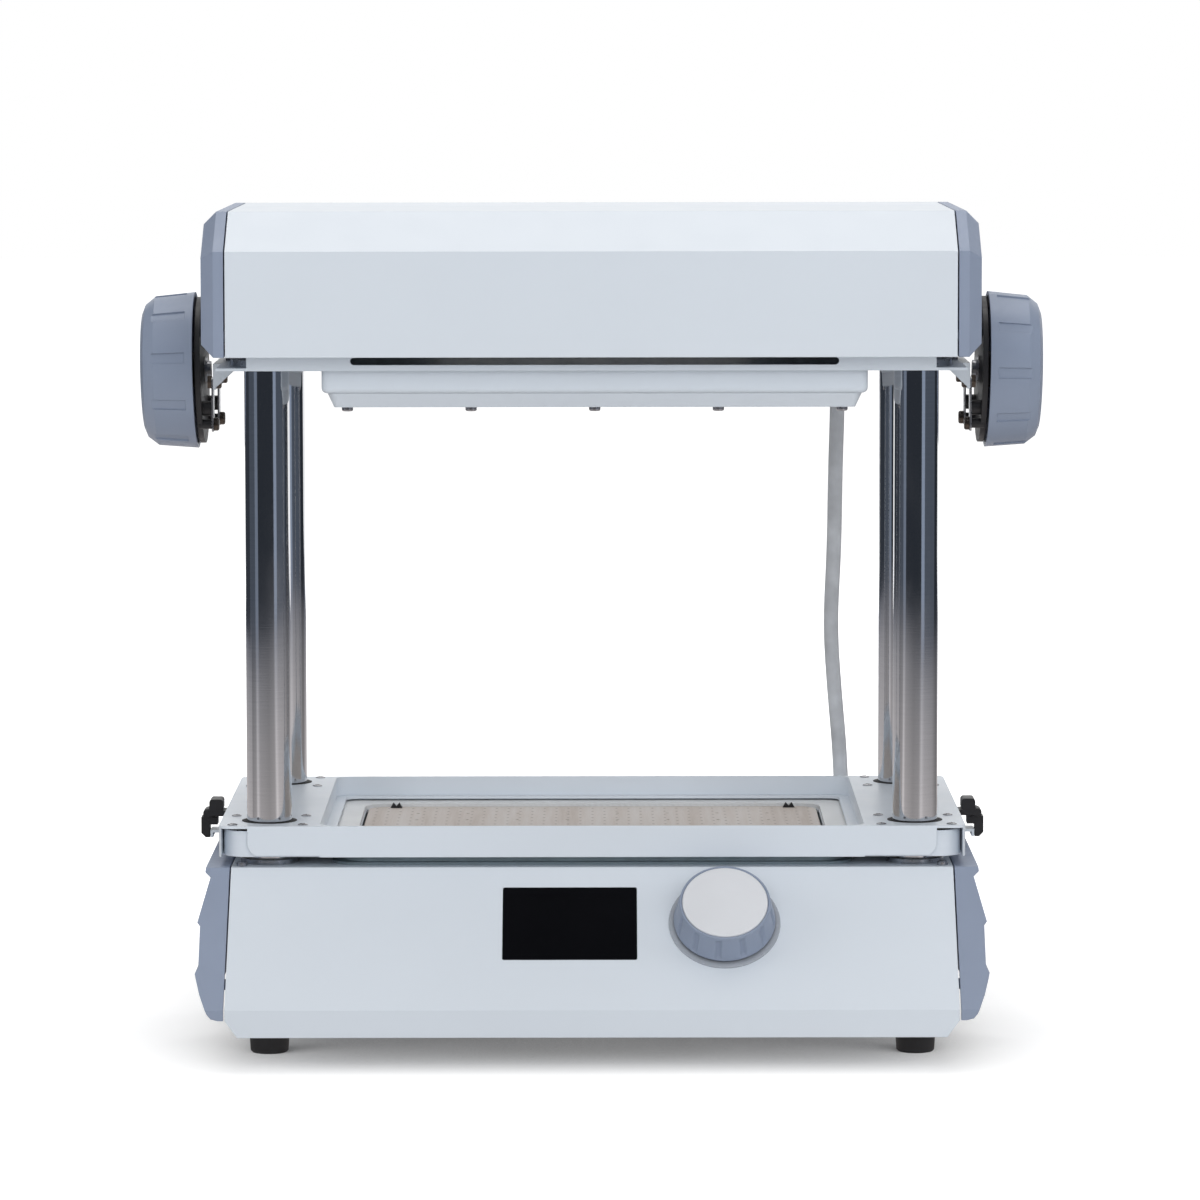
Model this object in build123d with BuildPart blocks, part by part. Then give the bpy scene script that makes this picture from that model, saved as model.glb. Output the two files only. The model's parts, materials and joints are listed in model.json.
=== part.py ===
from build123d import *
from math import cos, radians, sin, sqrt, tan
import os

# Desktop vacuum forming machine, in millimetres.
# X points right, Y points back and Z up. The origin lies on the table under the middle of the base.

# ---------------------------------------------------------------- driving dimensions
SHEET = 1.5  # painted sheet steel
RUN_GAP = 0.05  # radial clearance of a running fit
SLIDE_GAP = 0.3  # clearance between faces that move past each other
PANEL_GAP = 0.8  # open seam between a sheet cover and its end cap
PEG_D = 6.0  # pegs that carry an end cap in the cover's end flange

BASE_FRONT = -150.0
BASE_BACK = 150.0
BASE_Z = 21.0  # underside of the base, on its feet
BASE_TOP = 105.0
FASCIA_RUN = 69.0  # the 45 degree fascia, along Y and Z alike
BEND_R = 15.0  # soft bend between the fascia and the front wall
END_CHAMFER_W = 6.8  # bevel at the lower ends of the base
END_CHAMFER_H = 9.3
RETURN_W = 12.0  # inward flange at the open ends of a cover
BASE_PEGS = [(-128.0, 47.0), (-60.0, 98.5), (110.0, 98.5), (143.5, 50.0)]

FOOT_D = 21.0
FOOT_X = 180.0
FOOT_FRONT = -69.0
FOOT_BACK = 122.0

POST_D = 25.0
POST_PITCH_X = 360.0
POST_PITCH_Y = 174.0
POST_TO_END = 20.0  # post axis to the end of the sheet covers
POST_TO_SKIRT_X = 27.0  # post axis to the outside of the carriage and of the chassis plate
POST_TO_SKIRT_Y = 26.0
POST_Y = 32.0  # mid-plane of the four posts
SOCKET_H = 25.0
TRIM_RING_D = 32.0
TRIM_RING_H = 3.0

BOARD_W = 262.0  # perforated forming board
BOARD_D = 178.0
BOARD_T = 6.0
BOARD_TOP = 113.0
BOARD_R = 12.0
BOARD_HOLE_D = 2.4
BOARD_HOLE_PITCH = 29.0
PLENUM_DEPTH = 23.0
PLENUM_RIM = 14.0
BED_SEAL_W = 8.0

CARRIAGE_Z = 110.6
CARRIAGE_TOP = 128.0
CARRIAGE_R = 6.0
CARRIAGE_TRAVEL = 175.0
WELL_W = 302.0  # sheet well between the side plates
WELL_R = 10.0
WELL_LIP = 6.0
WELL_FLOOR = 115.5
FRONT_PANEL_W = 382.0
FRONT_PANEL_R = 8.0
FRONT_STEP = 0.8
LEDGE_GAP = 1.5  # round the forming board
GASKET_T = 2.4
BUSH_OD = 32.0
BUSH_FLANGE_D = 42.0
BUSH_FLANGE_T = 2.5
RING_D = 30.0
CLAMP_SCREW_PITCH = 39.0
CLAMP_SCREW_D = 3.0

LATCH_W = 16.0
LATCH_PIN_D = 2.5
LATCH_PIN_X = 220.0
LATCH_PIN_Z = 121.5
KEEPER_X = 218.2
KEEPER_BOTTOM = 108.0

SCREEN_W = 73.4
SCREEN_H = 49.0
SCREEN_X = -12.3
CONTROL_V = 10.0  # screen and knob centres, up the slope from the middle of the fascia
GLASS_T = 3.0
GLASS_PROUD = 0.2
KNOB_X = 72.8
KNOB_BASE_D = 56.0
KNOB_TOP_D = 49.2
KNOB_H = 19.6
KNOB_WALL = 2.2
KNOB_FLUTES = 12
BEZEL_D = 61.5
BEZEL_H = 1.2
SHAFT_D = 6.0
BOARD_BACK = 12.0  # control board behind the fascia
PCB_T = 1.6

HEAD_FRONT = -103.0
HEAD_BACK = 145.0
HEAD_Z = 388.7
HEAD_SHOULDER = 446.5
HEAD_TOP = 467.5
HEAD_SLOPE = 35.0
CAP_T = 12.7  # head end caps
CAP_CHAMFER = 7.0
CAP_WALL = 2.5

CHASSIS_Z = 380.0
CHASSIS_T = 1.6
CHASSIS_FRONT = -78.0
CHASSIS_BACK = 142.0
CHASSIS_FLANGE_W = 380.0
VENT_W = 269.0
COLLAR_D = 40.0
COLLAR_H = 14.0

HEATER_X = 1.8  # the heater's middle, a little to the right of the machine's
HEATER_D = 200.0
HEATER_BOTTOM = 367.0
HEATER_R = 4.0
RIM_STEP = 3.0  # the rim stands this far inside the heater box
RIM_H = 8.0
RIM_INSET = 9.0
RIM_TAPER = 25.0
TUBE_D = 9.0
TUBE_L = 264.0
TUBE_END = 19.0  # tube end to the side of the heater box
TUBE_PITCH = 34.0
TUBE_COUNT = 5
TUBE_Z = 372.6

SIDE_KNOB_Z = 375.0
SIDE_KNOB_SEAT = 214.2  # outboard face of the straps that hold each side knob
SIDE_KNOB_LEAN = 1.0  # degrees, the knob's axis below the horizontal
SIDE_KNOB_D = 88.5  # at its open rim
SIDE_KNOB_W = 30.0
SIDE_KNOB_TAPER = 5.0  # degrees a side
SIDE_KNOB_WALL = 2.4
SIDE_KNOB_START = 10.0  # the rim, outboard of the seat
SIDE_KNOB_BEVEL = 6.0
SIDE_KNOB_FLUTES = 10
SIDE_KNOB_TURNS = {"left": 12.0, "right": 0.0}  # where each knob was left standing, in degrees
STRAP_PITCH = 54.0
BACK_PLATE_D = 83.0
BACK_PLATE_T = 3.0
BACK_PLATE_START = 5.8
AXLE_D = 10.0

CABLE_D = 8.7
CABLE_Y = 162.0
CABLE_X = 145.0
CABLE_LOW_X = 148.0
CABLE_TOP = 384.0
CABLE_BOTTOM = 78.0

# ---------------------------------------------------------------- derived sizes and places
BODY_W = POST_PITCH_X + 2 * POST_TO_END  # sheet covers of base and head, between the end caps
CARRIAGE_W = POST_PITCH_X + 2 * POST_TO_SKIRT_X  # outside of the clamp frame's skirt
CARRIAGE_D = POST_PITCH_Y + 2 * POST_TO_SKIRT_Y
CHASSIS_W = CARRIAGE_W
HEATER_W = TUBE_L + 2 * TUBE_END
RIM_W = HEATER_W - 2 * RIM_STEP
RIM_D = HEATER_D - 2 * RIM_STEP
POST_X = POST_PITCH_X / 2
POST_PLACES = [
    (x, POST_Y + y)
    for x in (-POST_X, POST_X)
    for y in (-POST_PITCH_Y / 2, POST_PITCH_Y / 2)
]
POST_BOTTOM = BASE_Z + SHEET
CHASSIS_TOP = CHASSIS_Z + CHASSIS_T
POST_TOP = CHASSIS_TOP + COLLAR_H + 2
FASCIA_MID = Vector(0, BASE_FRONT + FASCIA_RUN / 2, BASE_TOP - FASCIA_RUN / 2)
FASCIA = Plane(
    origin=FASCIA_MID + Vector(0, CONTROL_V, CONTROL_V) * sqrt(0.5),
    x_dir=(1, 0, 0),
    z_dir=(0, -1, 1),
)
KNOB_PLANE = Plane(origin=FASCIA.from_local_coords(Vector(KNOB_X, 0, 0)), x_dir=(1, 0, 0), z_dir=(0, -1, 1))
KNOB_AXIS = Axis(KNOB_PLANE.origin, KNOB_PLANE.z_dir)
BOARD_Z = BOARD_TOP - BOARD_T
LEDGE_TOP = CARRIAGE_Z + SHEET
SIDES = {"left": -1, "right": 1}

os.makedirs("parts", exist_ok=True)


def keep(piece, name):
    """Label one finished sub-part and write its file."""
    piece.part.label = name
    export_step(piece.part, f"parts/{name}.step")


def base_side(inset=0.0):
    """Side outline of the base, or the same outline drawn in by a wall."""
    with BuildSketch(Plane.YZ) as side:
        with BuildLine():
            Polyline(
                (BASE_FRONT, BASE_Z),
                (BASE_FRONT, BASE_TOP - FASCIA_RUN),
                (BASE_FRONT + FASCIA_RUN, BASE_TOP),
                (BASE_BACK, BASE_TOP),
                (BASE_BACK, BASE_Z),
                close=True,
            )
        make_face()
        corners = side.vertices().sort_by(Axis.Y)
        fillet(corners.filter_by_position(Axis.Z, BASE_Z + 1, BASE_TOP - 1), BEND_R)
        if inset:
            offset(amount=-inset, kind=Kind.INTERSECTION)
    return side.sketch


def head_side(inset=0.0):
    """Side outline of the head."""
    with BuildSketch(Plane.YZ) as side:
        with BuildLine():
            Polyline(
                (HEAD_FRONT, HEAD_Z),
                (HEAD_FRONT, HEAD_SHOULDER),
                (HEAD_FRONT + HEAD_SLOPE, HEAD_TOP),
                (HEAD_BACK - HEAD_SLOPE, HEAD_TOP),
                (HEAD_BACK, HEAD_SHOULDER),
                (HEAD_BACK, HEAD_Z),
                close=True,
            )
        make_face()
        if inset:
            offset(amount=-inset, kind=Kind.INTERSECTION)
    return side.sketch


def section(plane, turn=0.0):
    """The plane through another's axis: x points outward at that angle, and y along the axis."""
    out = plane.x_dir * cos(radians(turn)) + plane.y_dir * sin(radians(turn))
    return Plane(origin=plane.origin, x_dir=out, z_dir=out.cross(plane.z_dir))


def mirrored(places):
    """Each place and its twin across the machine's middle."""
    return [(s * x, y) for s in (-1, 1) for x, y in places]


# ---------------------------------------------------------------- base
INLET_X = -140.0
INLET_Z = 62.0
INLET_W = 27.6
INLET_H = 20.2
SWITCH_X = -100.0
SWITCH_W = 21.0
SWITCH_H = 15.0
GLAND_HOLE_D = 12.0
BACK_PLANE = Plane(origin=(0, BASE_BACK, 0), x_dir=(-1, 0, 0), z_dir=(0, 1, 0))
BED_HOLE_W = BOARD_W - 2
BED_HOLE_D = BOARD_D - 2
LOUVRE_W = 4.0
LOUVRE_H = 26.0
LOUVRE_PITCH = 9.0
END_SCREW_X = 194.5
END_SCREW_Y = -74.0
END_SCREW_HOLE_D = 3.4
BEZEL_NECK = 8.0  # the rim's collar passes through the fascia this far inside its edge
BACK_LOUVRE_X = -42.0
BACK_LOUVRES = 10
BASE_GLAND_Z = CABLE_BOTTOM - 14

with BuildPart() as base_shell:
    extrude(base_side(), amount=BODY_W / 2, both=True)
    extrude(base_side(SHEET), amount=BODY_W / 2 - SHEET, both=True, mode=Mode.SUBTRACT)
    extrude(base_side(RETURN_W), amount=BODY_W, both=True, mode=Mode.SUBTRACT)
    with BuildSketch(Plane.XY.offset(BASE_Z)):
        Rectangle(2 * BODY_W, BASE_BACK - BASE_FRONT - 2 * SHEET)
    extrude(amount=RETURN_W, mode=Mode.SUBTRACT)
    with BuildSketch(Plane.XZ):
        for s in (-1, 1):
            with BuildLine():
                Polyline(
                    (s * (BODY_W / 2 - END_CHAMFER_W), BASE_Z),
                    (s * BODY_W / 2, BASE_Z + END_CHAMFER_H),
                    (s * BODY_W, BASE_Z + END_CHAMFER_H),
                    (s * BODY_W, BASE_Z),
                    close=True,
                )
            make_face()
    extrude(amount=BODY_W, both=True, mode=Mode.SUBTRACT)
    with BuildSketch(Plane.XY.offset(BASE_TOP - 2 * SHEET)):
        with Locations(*POST_PLACES):
            Circle(POST_D / 2 + SLIDE_GAP)
        with Locations((0, POST_Y)):
            RectangleRounded(BED_HOLE_W, BED_HOLE_D, BOARD_R)
        with Locations(*mirrored([(END_SCREW_X, END_SCREW_Y)])):
            Circle(END_SCREW_HOLE_D / 2)
    extrude(amount=4 * SHEET, mode=Mode.SUBTRACT)
    with BuildSketch(Plane.YZ):
        with Locations(*BASE_PEGS):
            Circle(PEG_D / 2)
    extrude(amount=BODY_W, both=True, mode=Mode.SUBTRACT)
    with BuildSketch(FASCIA.offset(-3 * SHEET)):
        with Locations((SCREEN_X, 0)):
            RectangleRounded(SCREEN_W + 2 * SLIDE_GAP, SCREEN_H + 2 * SLIDE_GAP, 1)
        with Locations((KNOB_X, 0)):
            Circle(BEZEL_D / 2 - BEZEL_NECK)
    extrude(amount=6 * SHEET, mode=Mode.SUBTRACT)
    with BuildSketch(BACK_PLANE.offset(-2 * SHEET)):
        with Locations((-INLET_X, INLET_Z)):
            Rectangle(INLET_W, INLET_H)
        with Locations((-SWITCH_X, INLET_Z)):
            Rectangle(SWITCH_W - 2, SWITCH_H - 2)
        with Locations((-CABLE_LOW_X, BASE_GLAND_Z)):
            Circle(GLAND_HOLE_D / 2)
        with Locations((-BACK_LOUVRE_X, INLET_Z)), GridLocations(LOUVRE_PITCH, 1, BACK_LOUVRES, 1):
            SlotOverall(LOUVRE_H, LOUVRE_W, rotation=90)
    extrude(amount=4 * SHEET, mode=Mode.SUBTRACT)
keep(base_shell, "base_shell")

PAN_W = BODY_W - 2 * END_CHAMFER_W
PAN_D = BASE_BACK - BASE_FRONT - 2 * SHEET
PAN_LIP = 8.0
PAN_HOLE_D = 4.4
PAN_LOUVRES = 14
PAN_LOUVRE_Y = -70.0
FOOT_PLACES = [(x, y) for x in (-FOOT_X, FOOT_X) for y in (FOOT_FRONT, FOOT_BACK)]
with BuildPart() as base_pan:
    with BuildSketch(Plane.XY.offset(BASE_Z)):
        Rectangle(PAN_W, PAN_D)
    extrude(amount=SHEET)
    with BuildSketch(Plane.XY.offset(BASE_Z)):
        Rectangle(PAN_W - 2 * SHEET, PAN_D)
        Rectangle(PAN_W - 2 * SHEET, PAN_D - 2 * SHEET, mode=Mode.SUBTRACT)
    extrude(amount=PAN_LIP)
    with BuildSketch(Plane.XY.offset(BASE_Z - SHEET)):
        with Locations(*FOOT_PLACES):
            Circle(PAN_HOLE_D / 2)
        with Locations((0, PAN_LOUVRE_Y)), GridLocations(LOUVRE_PITCH, 1, PAN_LOUVRES, 1):
            SlotOverall(2 * LOUVRE_H, LOUVRE_W, rotation=90)
    extrude(amount=3 * SHEET, mode=Mode.SUBTRACT)
keep(base_pan, "base_pan")

FOOT_RECESS_D = 11.0
FOOT_FLOOR = 6.0
FOOT_DRAFT = 4.0
with BuildPart() as rubber_feet:
    with BuildSketch(Plane.XY) as foot_face:
        with Locations(*FOOT_PLACES):
            Circle(FOOT_D / 2)
    extrude(amount=BASE_Z, taper=-FOOT_DRAFT)
    chamfer(rubber_feet.edges().group_by(Axis.Z)[0], 1)
    with BuildSketch(Plane.XY):
        with Locations(*FOOT_PLACES):
            Circle(FOOT_RECESS_D / 2)
    extrude(amount=BASE_Z - FOOT_FLOOR, mode=Mode.SUBTRACT)
    with BuildSketch(Plane.XY):
        with Locations(*FOOT_PLACES):
            Circle(PAN_HOLE_D / 2)
    extrude(amount=BASE_Z, mode=Mode.SUBTRACT)
keep(rubber_feet, "rubber_feet")

# The base end caps: the base's side outline cut by a stepped front outline.
BASE_CAP_X = BODY_W / 2 + PANEL_GAP
BASE_CAP_WALL = 3.0
CAP_STEPS = [
    (214.0, 105.0),
    (214.2, 102.7),
    (211.2, 100.2),
    (217.2, 78.2),
    (215.6, 76.5),
    (215.4, 56.5),
    (217.2, 53.6),
    (216.4, 50.7),
    (214.0, 43.3),
    (209.7, 33.8),
    (207.6, 31.3),
    (203.7, 30.3),
]
CAP_LEG = 8.0
for side, s in SIDES.items():
    with BuildPart() as base_cap:
        with BuildSketch(Plane.XZ.offset(-BASE_BACK)):
            with BuildLine():
                Polyline(
                    (s * BASE_CAP_X, BASE_TOP),
                    *[(s * x, z) for x, z in CAP_STEPS],
                    (s * BASE_CAP_X, CAP_STEPS[-1][1]),
                    close=True,
                )
            make_face()
        extrude(amount=BASE_BACK - BASE_FRONT)
        extrude(base_side(), amount=s * BODY_W, mode=Mode.INTERSECT)
        extrude(base_side(BASE_CAP_WALL), amount=s * (BASE_CAP_X + CAP_LEG), mode=Mode.SUBTRACT)
        with BuildSketch(Plane.YZ.offset(s * (BASE_CAP_X + CAP_LEG))):
            with Locations(*BASE_PEGS):
                Circle(PEG_D / 2)
        extrude(amount=-s * (CAP_LEG + PANEL_GAP + 2 * SHEET))
    keep(base_cap, f"base_cap_{side}")

SCREW_HEAD_D = 6.0
SCREW_HEAD_H = 2.4
SCREW_D = 3.0
SCREW_L = 8.0
RECESS_W = 3.4
RECESS_T = 0.8
RECESS_DEPTH = 1.0
with BuildPart() as base_screws:
    with BuildSketch(Plane.XY.offset(BASE_TOP)):
        with Locations(*mirrored([(END_SCREW_X, END_SCREW_Y)])):
            Circle(SCREW_HEAD_D / 2)
    extrude(amount=SCREW_HEAD_H)
    fillet(base_screws.edges().group_by(Axis.Z)[-1], 1)
    with BuildSketch(Plane.XY.offset(BASE_TOP)):
        with Locations(*mirrored([(END_SCREW_X, END_SCREW_Y)])):
            Circle(SCREW_D / 2)
    extrude(amount=-SCREW_L)
    with BuildSketch(Plane.XY.offset(BASE_TOP + SCREW_HEAD_H)):
        with Locations(*mirrored([(END_SCREW_X, END_SCREW_Y)])):
            Rectangle(RECESS_W, RECESS_T)
            Rectangle(RECESS_T, RECESS_W)
    extrude(amount=-RECESS_DEPTH, mode=Mode.SUBTRACT)
keep(base_screws, "base_screws")

# ---------------------------------------------------------------- posts and what holds them
with BuildPart() as guide_posts:
    with BuildSketch(Plane.XY.offset(POST_BOTTOM)):
        with Locations(*POST_PLACES):
            Circle(POST_D / 2)
    extrude(amount=POST_TOP - POST_BOTTOM)
    chamfer(guide_posts.edges().group_by(Axis.Z)[-1], 1)
keep(guide_posts, "guide_posts")

SOCKET_WALL = 2.5
SOCKET_FOOT = 26.0
SOCKET_FOOT_L = 52.0
SOCKET_FOOT_T = 4.0
with BuildPart() as post_sockets:
    with BuildSketch(Plane.XY.offset(POST_BOTTOM)):
        with Locations(*POST_PLACES):
            Circle(POST_D / 2 + SOCKET_WALL)
    extrude(amount=SOCKET_H)
    with BuildSketch(Plane.XY.offset(POST_BOTTOM)):
        with Locations(*POST_PLACES):
            RectangleRounded(SOCKET_FOOT, SOCKET_FOOT_L, 4)
    extrude(amount=SOCKET_FOOT_T)
    with BuildSketch(Plane.XY.offset(BASE_TOP)):
        with Locations(*POST_PLACES):
            Circle(TRIM_RING_D / 2)
    extrude(amount=TRIM_RING_H)
    fillet(post_sockets.edges().group_by(Axis.Z)[-1], 1)
    with BuildSketch(Plane.XY.offset(POST_BOTTOM)):
        with Locations(*POST_PLACES):
            Circle(POST_D / 2 + RUN_GAP)
    extrude(amount=BASE_TOP, mode=Mode.SUBTRACT)
keep(post_sockets, "post_sockets")

COLLAR_WALL = 1.5
COLLAR_FOOT_T = 4.0
with BuildPart() as post_collars:
    with BuildSketch(Plane.XY.offset(CHASSIS_TOP)):
        with Locations(*POST_PLACES):
            Circle(COLLAR_D / 2)
    extrude(amount=COLLAR_FOOT_T)
    with BuildSketch(Plane.XY.offset(CHASSIS_TOP)):
        with Locations(*POST_PLACES):
            Circle(POST_D / 2 + COLLAR_WALL)
    extrude(amount=COLLAR_H)
    with BuildSketch(Plane.XY.offset(CHASSIS_TOP)):
        with Locations(*POST_PLACES):
            Circle(POST_D / 2 + RUN_GAP)
    extrude(amount=COLLAR_H, mode=Mode.SUBTRACT)
keep(post_collars, "post_collars")

# ---------------------------------------------------------------- vacuum bed
PLENUM_TOP = BOARD_Z
PLENUM_RIM_T = 1.5
PLENUM_WALL = 2.5
PLENUM_BOTTOM = BASE_TOP - PLENUM_DEPTH
PORT_D = 30.0
BLOWER_X = BOARD_W / 2 - 26.0
BLOWER_Y = 62.0
BLOWER_D = 92.0
BLOWER_H = 46.0
BED_CENTRE = (0, POST_Y)
with BuildPart() as vacuum_plenum:
    with BuildSketch(Plane.XY.offset(PLENUM_BOTTOM)):
        with Locations(BED_CENTRE):
            RectangleRounded(BED_HOLE_W - 2, BED_HOLE_D - 2, BOARD_R - 1)
    extrude(amount=PLENUM_TOP - PLENUM_BOTTOM)
    with BuildSketch(Plane.XY.offset(BASE_TOP)):
        with Locations(BED_CENTRE):
            RectangleRounded(BOARD_W + 2 * PLENUM_RIM, BOARD_D + 2 * PLENUM_RIM, BOARD_R + 4)
    extrude(amount=PLENUM_RIM_T)
    with BuildSketch(Plane.XY.offset(PLENUM_BOTTOM + PLENUM_WALL)):
        with Locations(BED_CENTRE):
            RectangleRounded(BED_HOLE_W - 2 - 2 * PLENUM_WALL, BED_HOLE_D - 2 - 2 * PLENUM_WALL, BOARD_R - 3)
    extrude(amount=PLENUM_DEPTH, mode=Mode.SUBTRACT)
    with BuildSketch(Plane.XY.offset(PLENUM_BOTTOM + PLENUM_WALL)):
        with Locations((0, POST_Y)), GridLocations(BOARD_W / 3, BOARD_D / 2, 2, 1):
            Circle(5)
    extrude(amount=PLENUM_TOP - PLENUM_BOTTOM - PLENUM_WALL)
    with BuildSketch(Plane.XY.offset(PLENUM_BOTTOM)):
        with Locations((BLOWER_X, BLOWER_Y)):
            Circle(PORT_D / 2 - 4)
    extrude(amount=2 * PLENUM_WALL, mode=Mode.SUBTRACT)
keep(vacuum_plenum, "vacuum_plenum")

with BuildPart() as forming_board:
    with BuildSketch(Plane.XY.offset(BOARD_Z)):
        with Locations(BED_CENTRE):
            RectangleRounded(BOARD_W, BOARD_D, BOARD_R)
        with Locations(BED_CENTRE), GridLocations(BOARD_HOLE_PITCH, BOARD_HOLE_PITCH, 8, 5):
            Circle(BOARD_HOLE_D / 2, mode=Mode.SUBTRACT)
    extrude(amount=BOARD_T)
    chamfer(forming_board.faces().sort_by(Axis.Z)[-1].outer_wire().edges(), 0.5)
keep(forming_board, "forming_board")

# Hold-down clips of the board: a pair of sprung points each.
CLIP_W = 7.0
CLIP_H = 3.0
CLIP_X = BOARD_W / 2 - 16.0
CLIP_INSET = 5.0
with BuildPart() as board_clips:
    for y in (-1, 1):
        at = POST_Y + y * (BOARD_D / 2 - CLIP_INSET)
        with BuildSketch(Plane.XZ.offset(-at)):
            for x in (-CLIP_X, CLIP_X):
                with BuildLine():
                    Polyline(
                        (x - CLIP_W / 2, BOARD_TOP),
                        (x - CLIP_W / 4, BOARD_TOP + CLIP_H),
                        (x, BOARD_TOP + CLIP_H / 3),
                        (x + CLIP_W / 4, BOARD_TOP + CLIP_H),
                        (x + CLIP_W / 2, BOARD_TOP),
                        close=True,
                    )
                make_face()
        extrude(amount=1.5, both=True)
keep(board_clips, "board_clips")

BED_SEAL_TOP = CARRIAGE_Z - SLIDE_GAP
with BuildPart() as bed_seal:
    with BuildSketch(Plane.XY.offset(BASE_TOP + PLENUM_RIM_T)):
        with Locations(BED_CENTRE):
            RectangleRounded(BOARD_W + 4 + 2 * BED_SEAL_W, BOARD_D + 4 + 2 * BED_SEAL_W, BOARD_R + 6)
            RectangleRounded(BOARD_W + 4, BOARD_D + 4, BOARD_R + 2, mode=Mode.SUBTRACT)
    extrude(amount=BED_SEAL_TOP - BASE_TOP - PLENUM_RIM_T)
keep(bed_seal, "bed_seal")

# ---------------------------------------------------------------- blower and electronics in the base
BLOWER_TOP = POST_BOTTOM + BLOWER_H
with BuildPart() as vacuum_blower:
    with BuildSketch(Plane.XY.offset(POST_BOTTOM)):
        with Locations((BLOWER_X, BLOWER_Y)):
            Circle(BLOWER_D / 2)
    extrude(amount=BLOWER_H * 0.45)
    with BuildSketch(Plane.XY.offset(POST_BOTTOM)):
        with Locations((BLOWER_X, BLOWER_Y)):
            Circle(BLOWER_D / 2 - 8)
        with Locations((BLOWER_X - BLOWER_D / 4, BLOWER_Y + BLOWER_D / 2)):
            Rectangle(30, BLOWER_D * 0.8)
    extrude(amount=BLOWER_H * 0.8)
    fillet(vacuum_blower.edges().group_by(Axis.Z)[-1], 4)
    with BuildSketch(Plane.XY.offset(POST_BOTTOM)):
        with Locations((BLOWER_X, BLOWER_Y)):
            Circle(PORT_D / 2)
    extrude(amount=BLOWER_H)
    with BuildSketch(Plane.XY.offset(BLOWER_TOP)):
        with Locations((BLOWER_X, BLOWER_Y)):
            Circle(PORT_D / 2 - 4)
    extrude(amount=-BLOWER_H / 2, mode=Mode.SUBTRACT)
keep(vacuum_blower, "vacuum_blower")

HOSE_RIB = 1.5
HOSE_H = PLENUM_BOTTOM - BLOWER_TOP
with BuildPart() as vacuum_hose:
    with BuildSketch(Plane.XY.offset(BLOWER_TOP)):
        with Locations((BLOWER_X, BLOWER_Y)):
            Circle(PORT_D / 2)
    extrude(amount=HOSE_H)
    for k in range(3):
        with BuildSketch(Plane.XY.offset(BLOWER_TOP + (k + 0.5) * HOSE_H / 3 - HOSE_RIB / 2)):
            with Locations((BLOWER_X, BLOWER_Y)):
                Circle(PORT_D / 2 + HOSE_RIB)
        extrude(amount=HOSE_RIB)
    with BuildSketch(Plane.XY.offset(BLOWER_TOP)):
        with Locations((BLOWER_X, BLOWER_Y)):
            Circle(PORT_D / 2 - 3)
    extrude(amount=HOSE_H, mode=Mode.SUBTRACT)
keep(vacuum_hose, "vacuum_hose")

SUPPLY_W = 98.0
SUPPLY_D = 120.0
SUPPLY_H = 38.0
with BuildPart() as power_supply:
    with BuildSketch(Plane.XY.offset(POST_BOTTOM)):
        with Locations((0, 70)):
            Rectangle(SUPPLY_W, SUPPLY_D)
    extrude(amount=SUPPLY_H)
    with BuildSketch(Plane.XY.offset(POST_BOTTOM + SUPPLY_H)):
        with Locations((0, 78)), GridLocations(12, 22, 6, 4):
            Circle(3)
    extrude(amount=-2, mode=Mode.SUBTRACT)
    with BuildSketch(Plane.XY.offset(POST_BOTTOM + SUPPLY_H)):
        with Locations((0, 70 - SUPPLY_D / 2)):
            Rectangle(SUPPLY_W - 10, 28)
    extrude(amount=-SUPPLY_H / 2, mode=Mode.SUBTRACT)
keep(power_supply, "power_supply")

DRIVER_X = -112.0
DRIVER_Y = 30.0
DRIVER_W = 92.0
DRIVER_D = 100.0
STANDOFF_H = 8.0
with BuildPart() as driver_board:
    with BuildSketch(Plane.XY.offset(POST_BOTTOM)):
        with Locations((DRIVER_X, DRIVER_Y)), GridLocations(DRIVER_W - 10, DRIVER_D - 10, 2, 2):
            Circle(3)
    extrude(amount=STANDOFF_H)
    with BuildSketch(Plane.XY.offset(POST_BOTTOM + STANDOFF_H)):
        with Locations((DRIVER_X, DRIVER_Y)):
            Rectangle(DRIVER_W, DRIVER_D)
    extrude(amount=PCB_T)
    with BuildSketch(Plane.XY.offset(POST_BOTTOM + STANDOFF_H + PCB_T)):
        with Locations((DRIVER_X, DRIVER_Y + 25)):
            Rectangle(44, 26)
        with Locations((DRIVER_X - 22, DRIVER_Y - 20)), GridLocations(16, 1, 3, 1):
            Circle(6)
    extrude(amount=14)
    with BuildSketch(Plane.XY.offset(POST_BOTTOM + STANDOFF_H + PCB_T)):
        with Locations((DRIVER_X + 18, DRIVER_Y - 38)), GridLocations(22, 1, 2, 1):
            Rectangle(18, 10)
    extrude(amount=9)
keep(driver_board, "driver_board")

# ---------------------------------------------------------------- screen and knob on the fascia
with BuildPart() as screen_glass:
    with BuildSketch(FASCIA.offset(GLASS_PROUD)):
        with Locations((SCREEN_X, 0)):
            RectangleRounded(SCREEN_W, SCREEN_H, 0.8)
    extrude(amount=-GLASS_T)
keep(screen_glass, "screen_glass")

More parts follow.
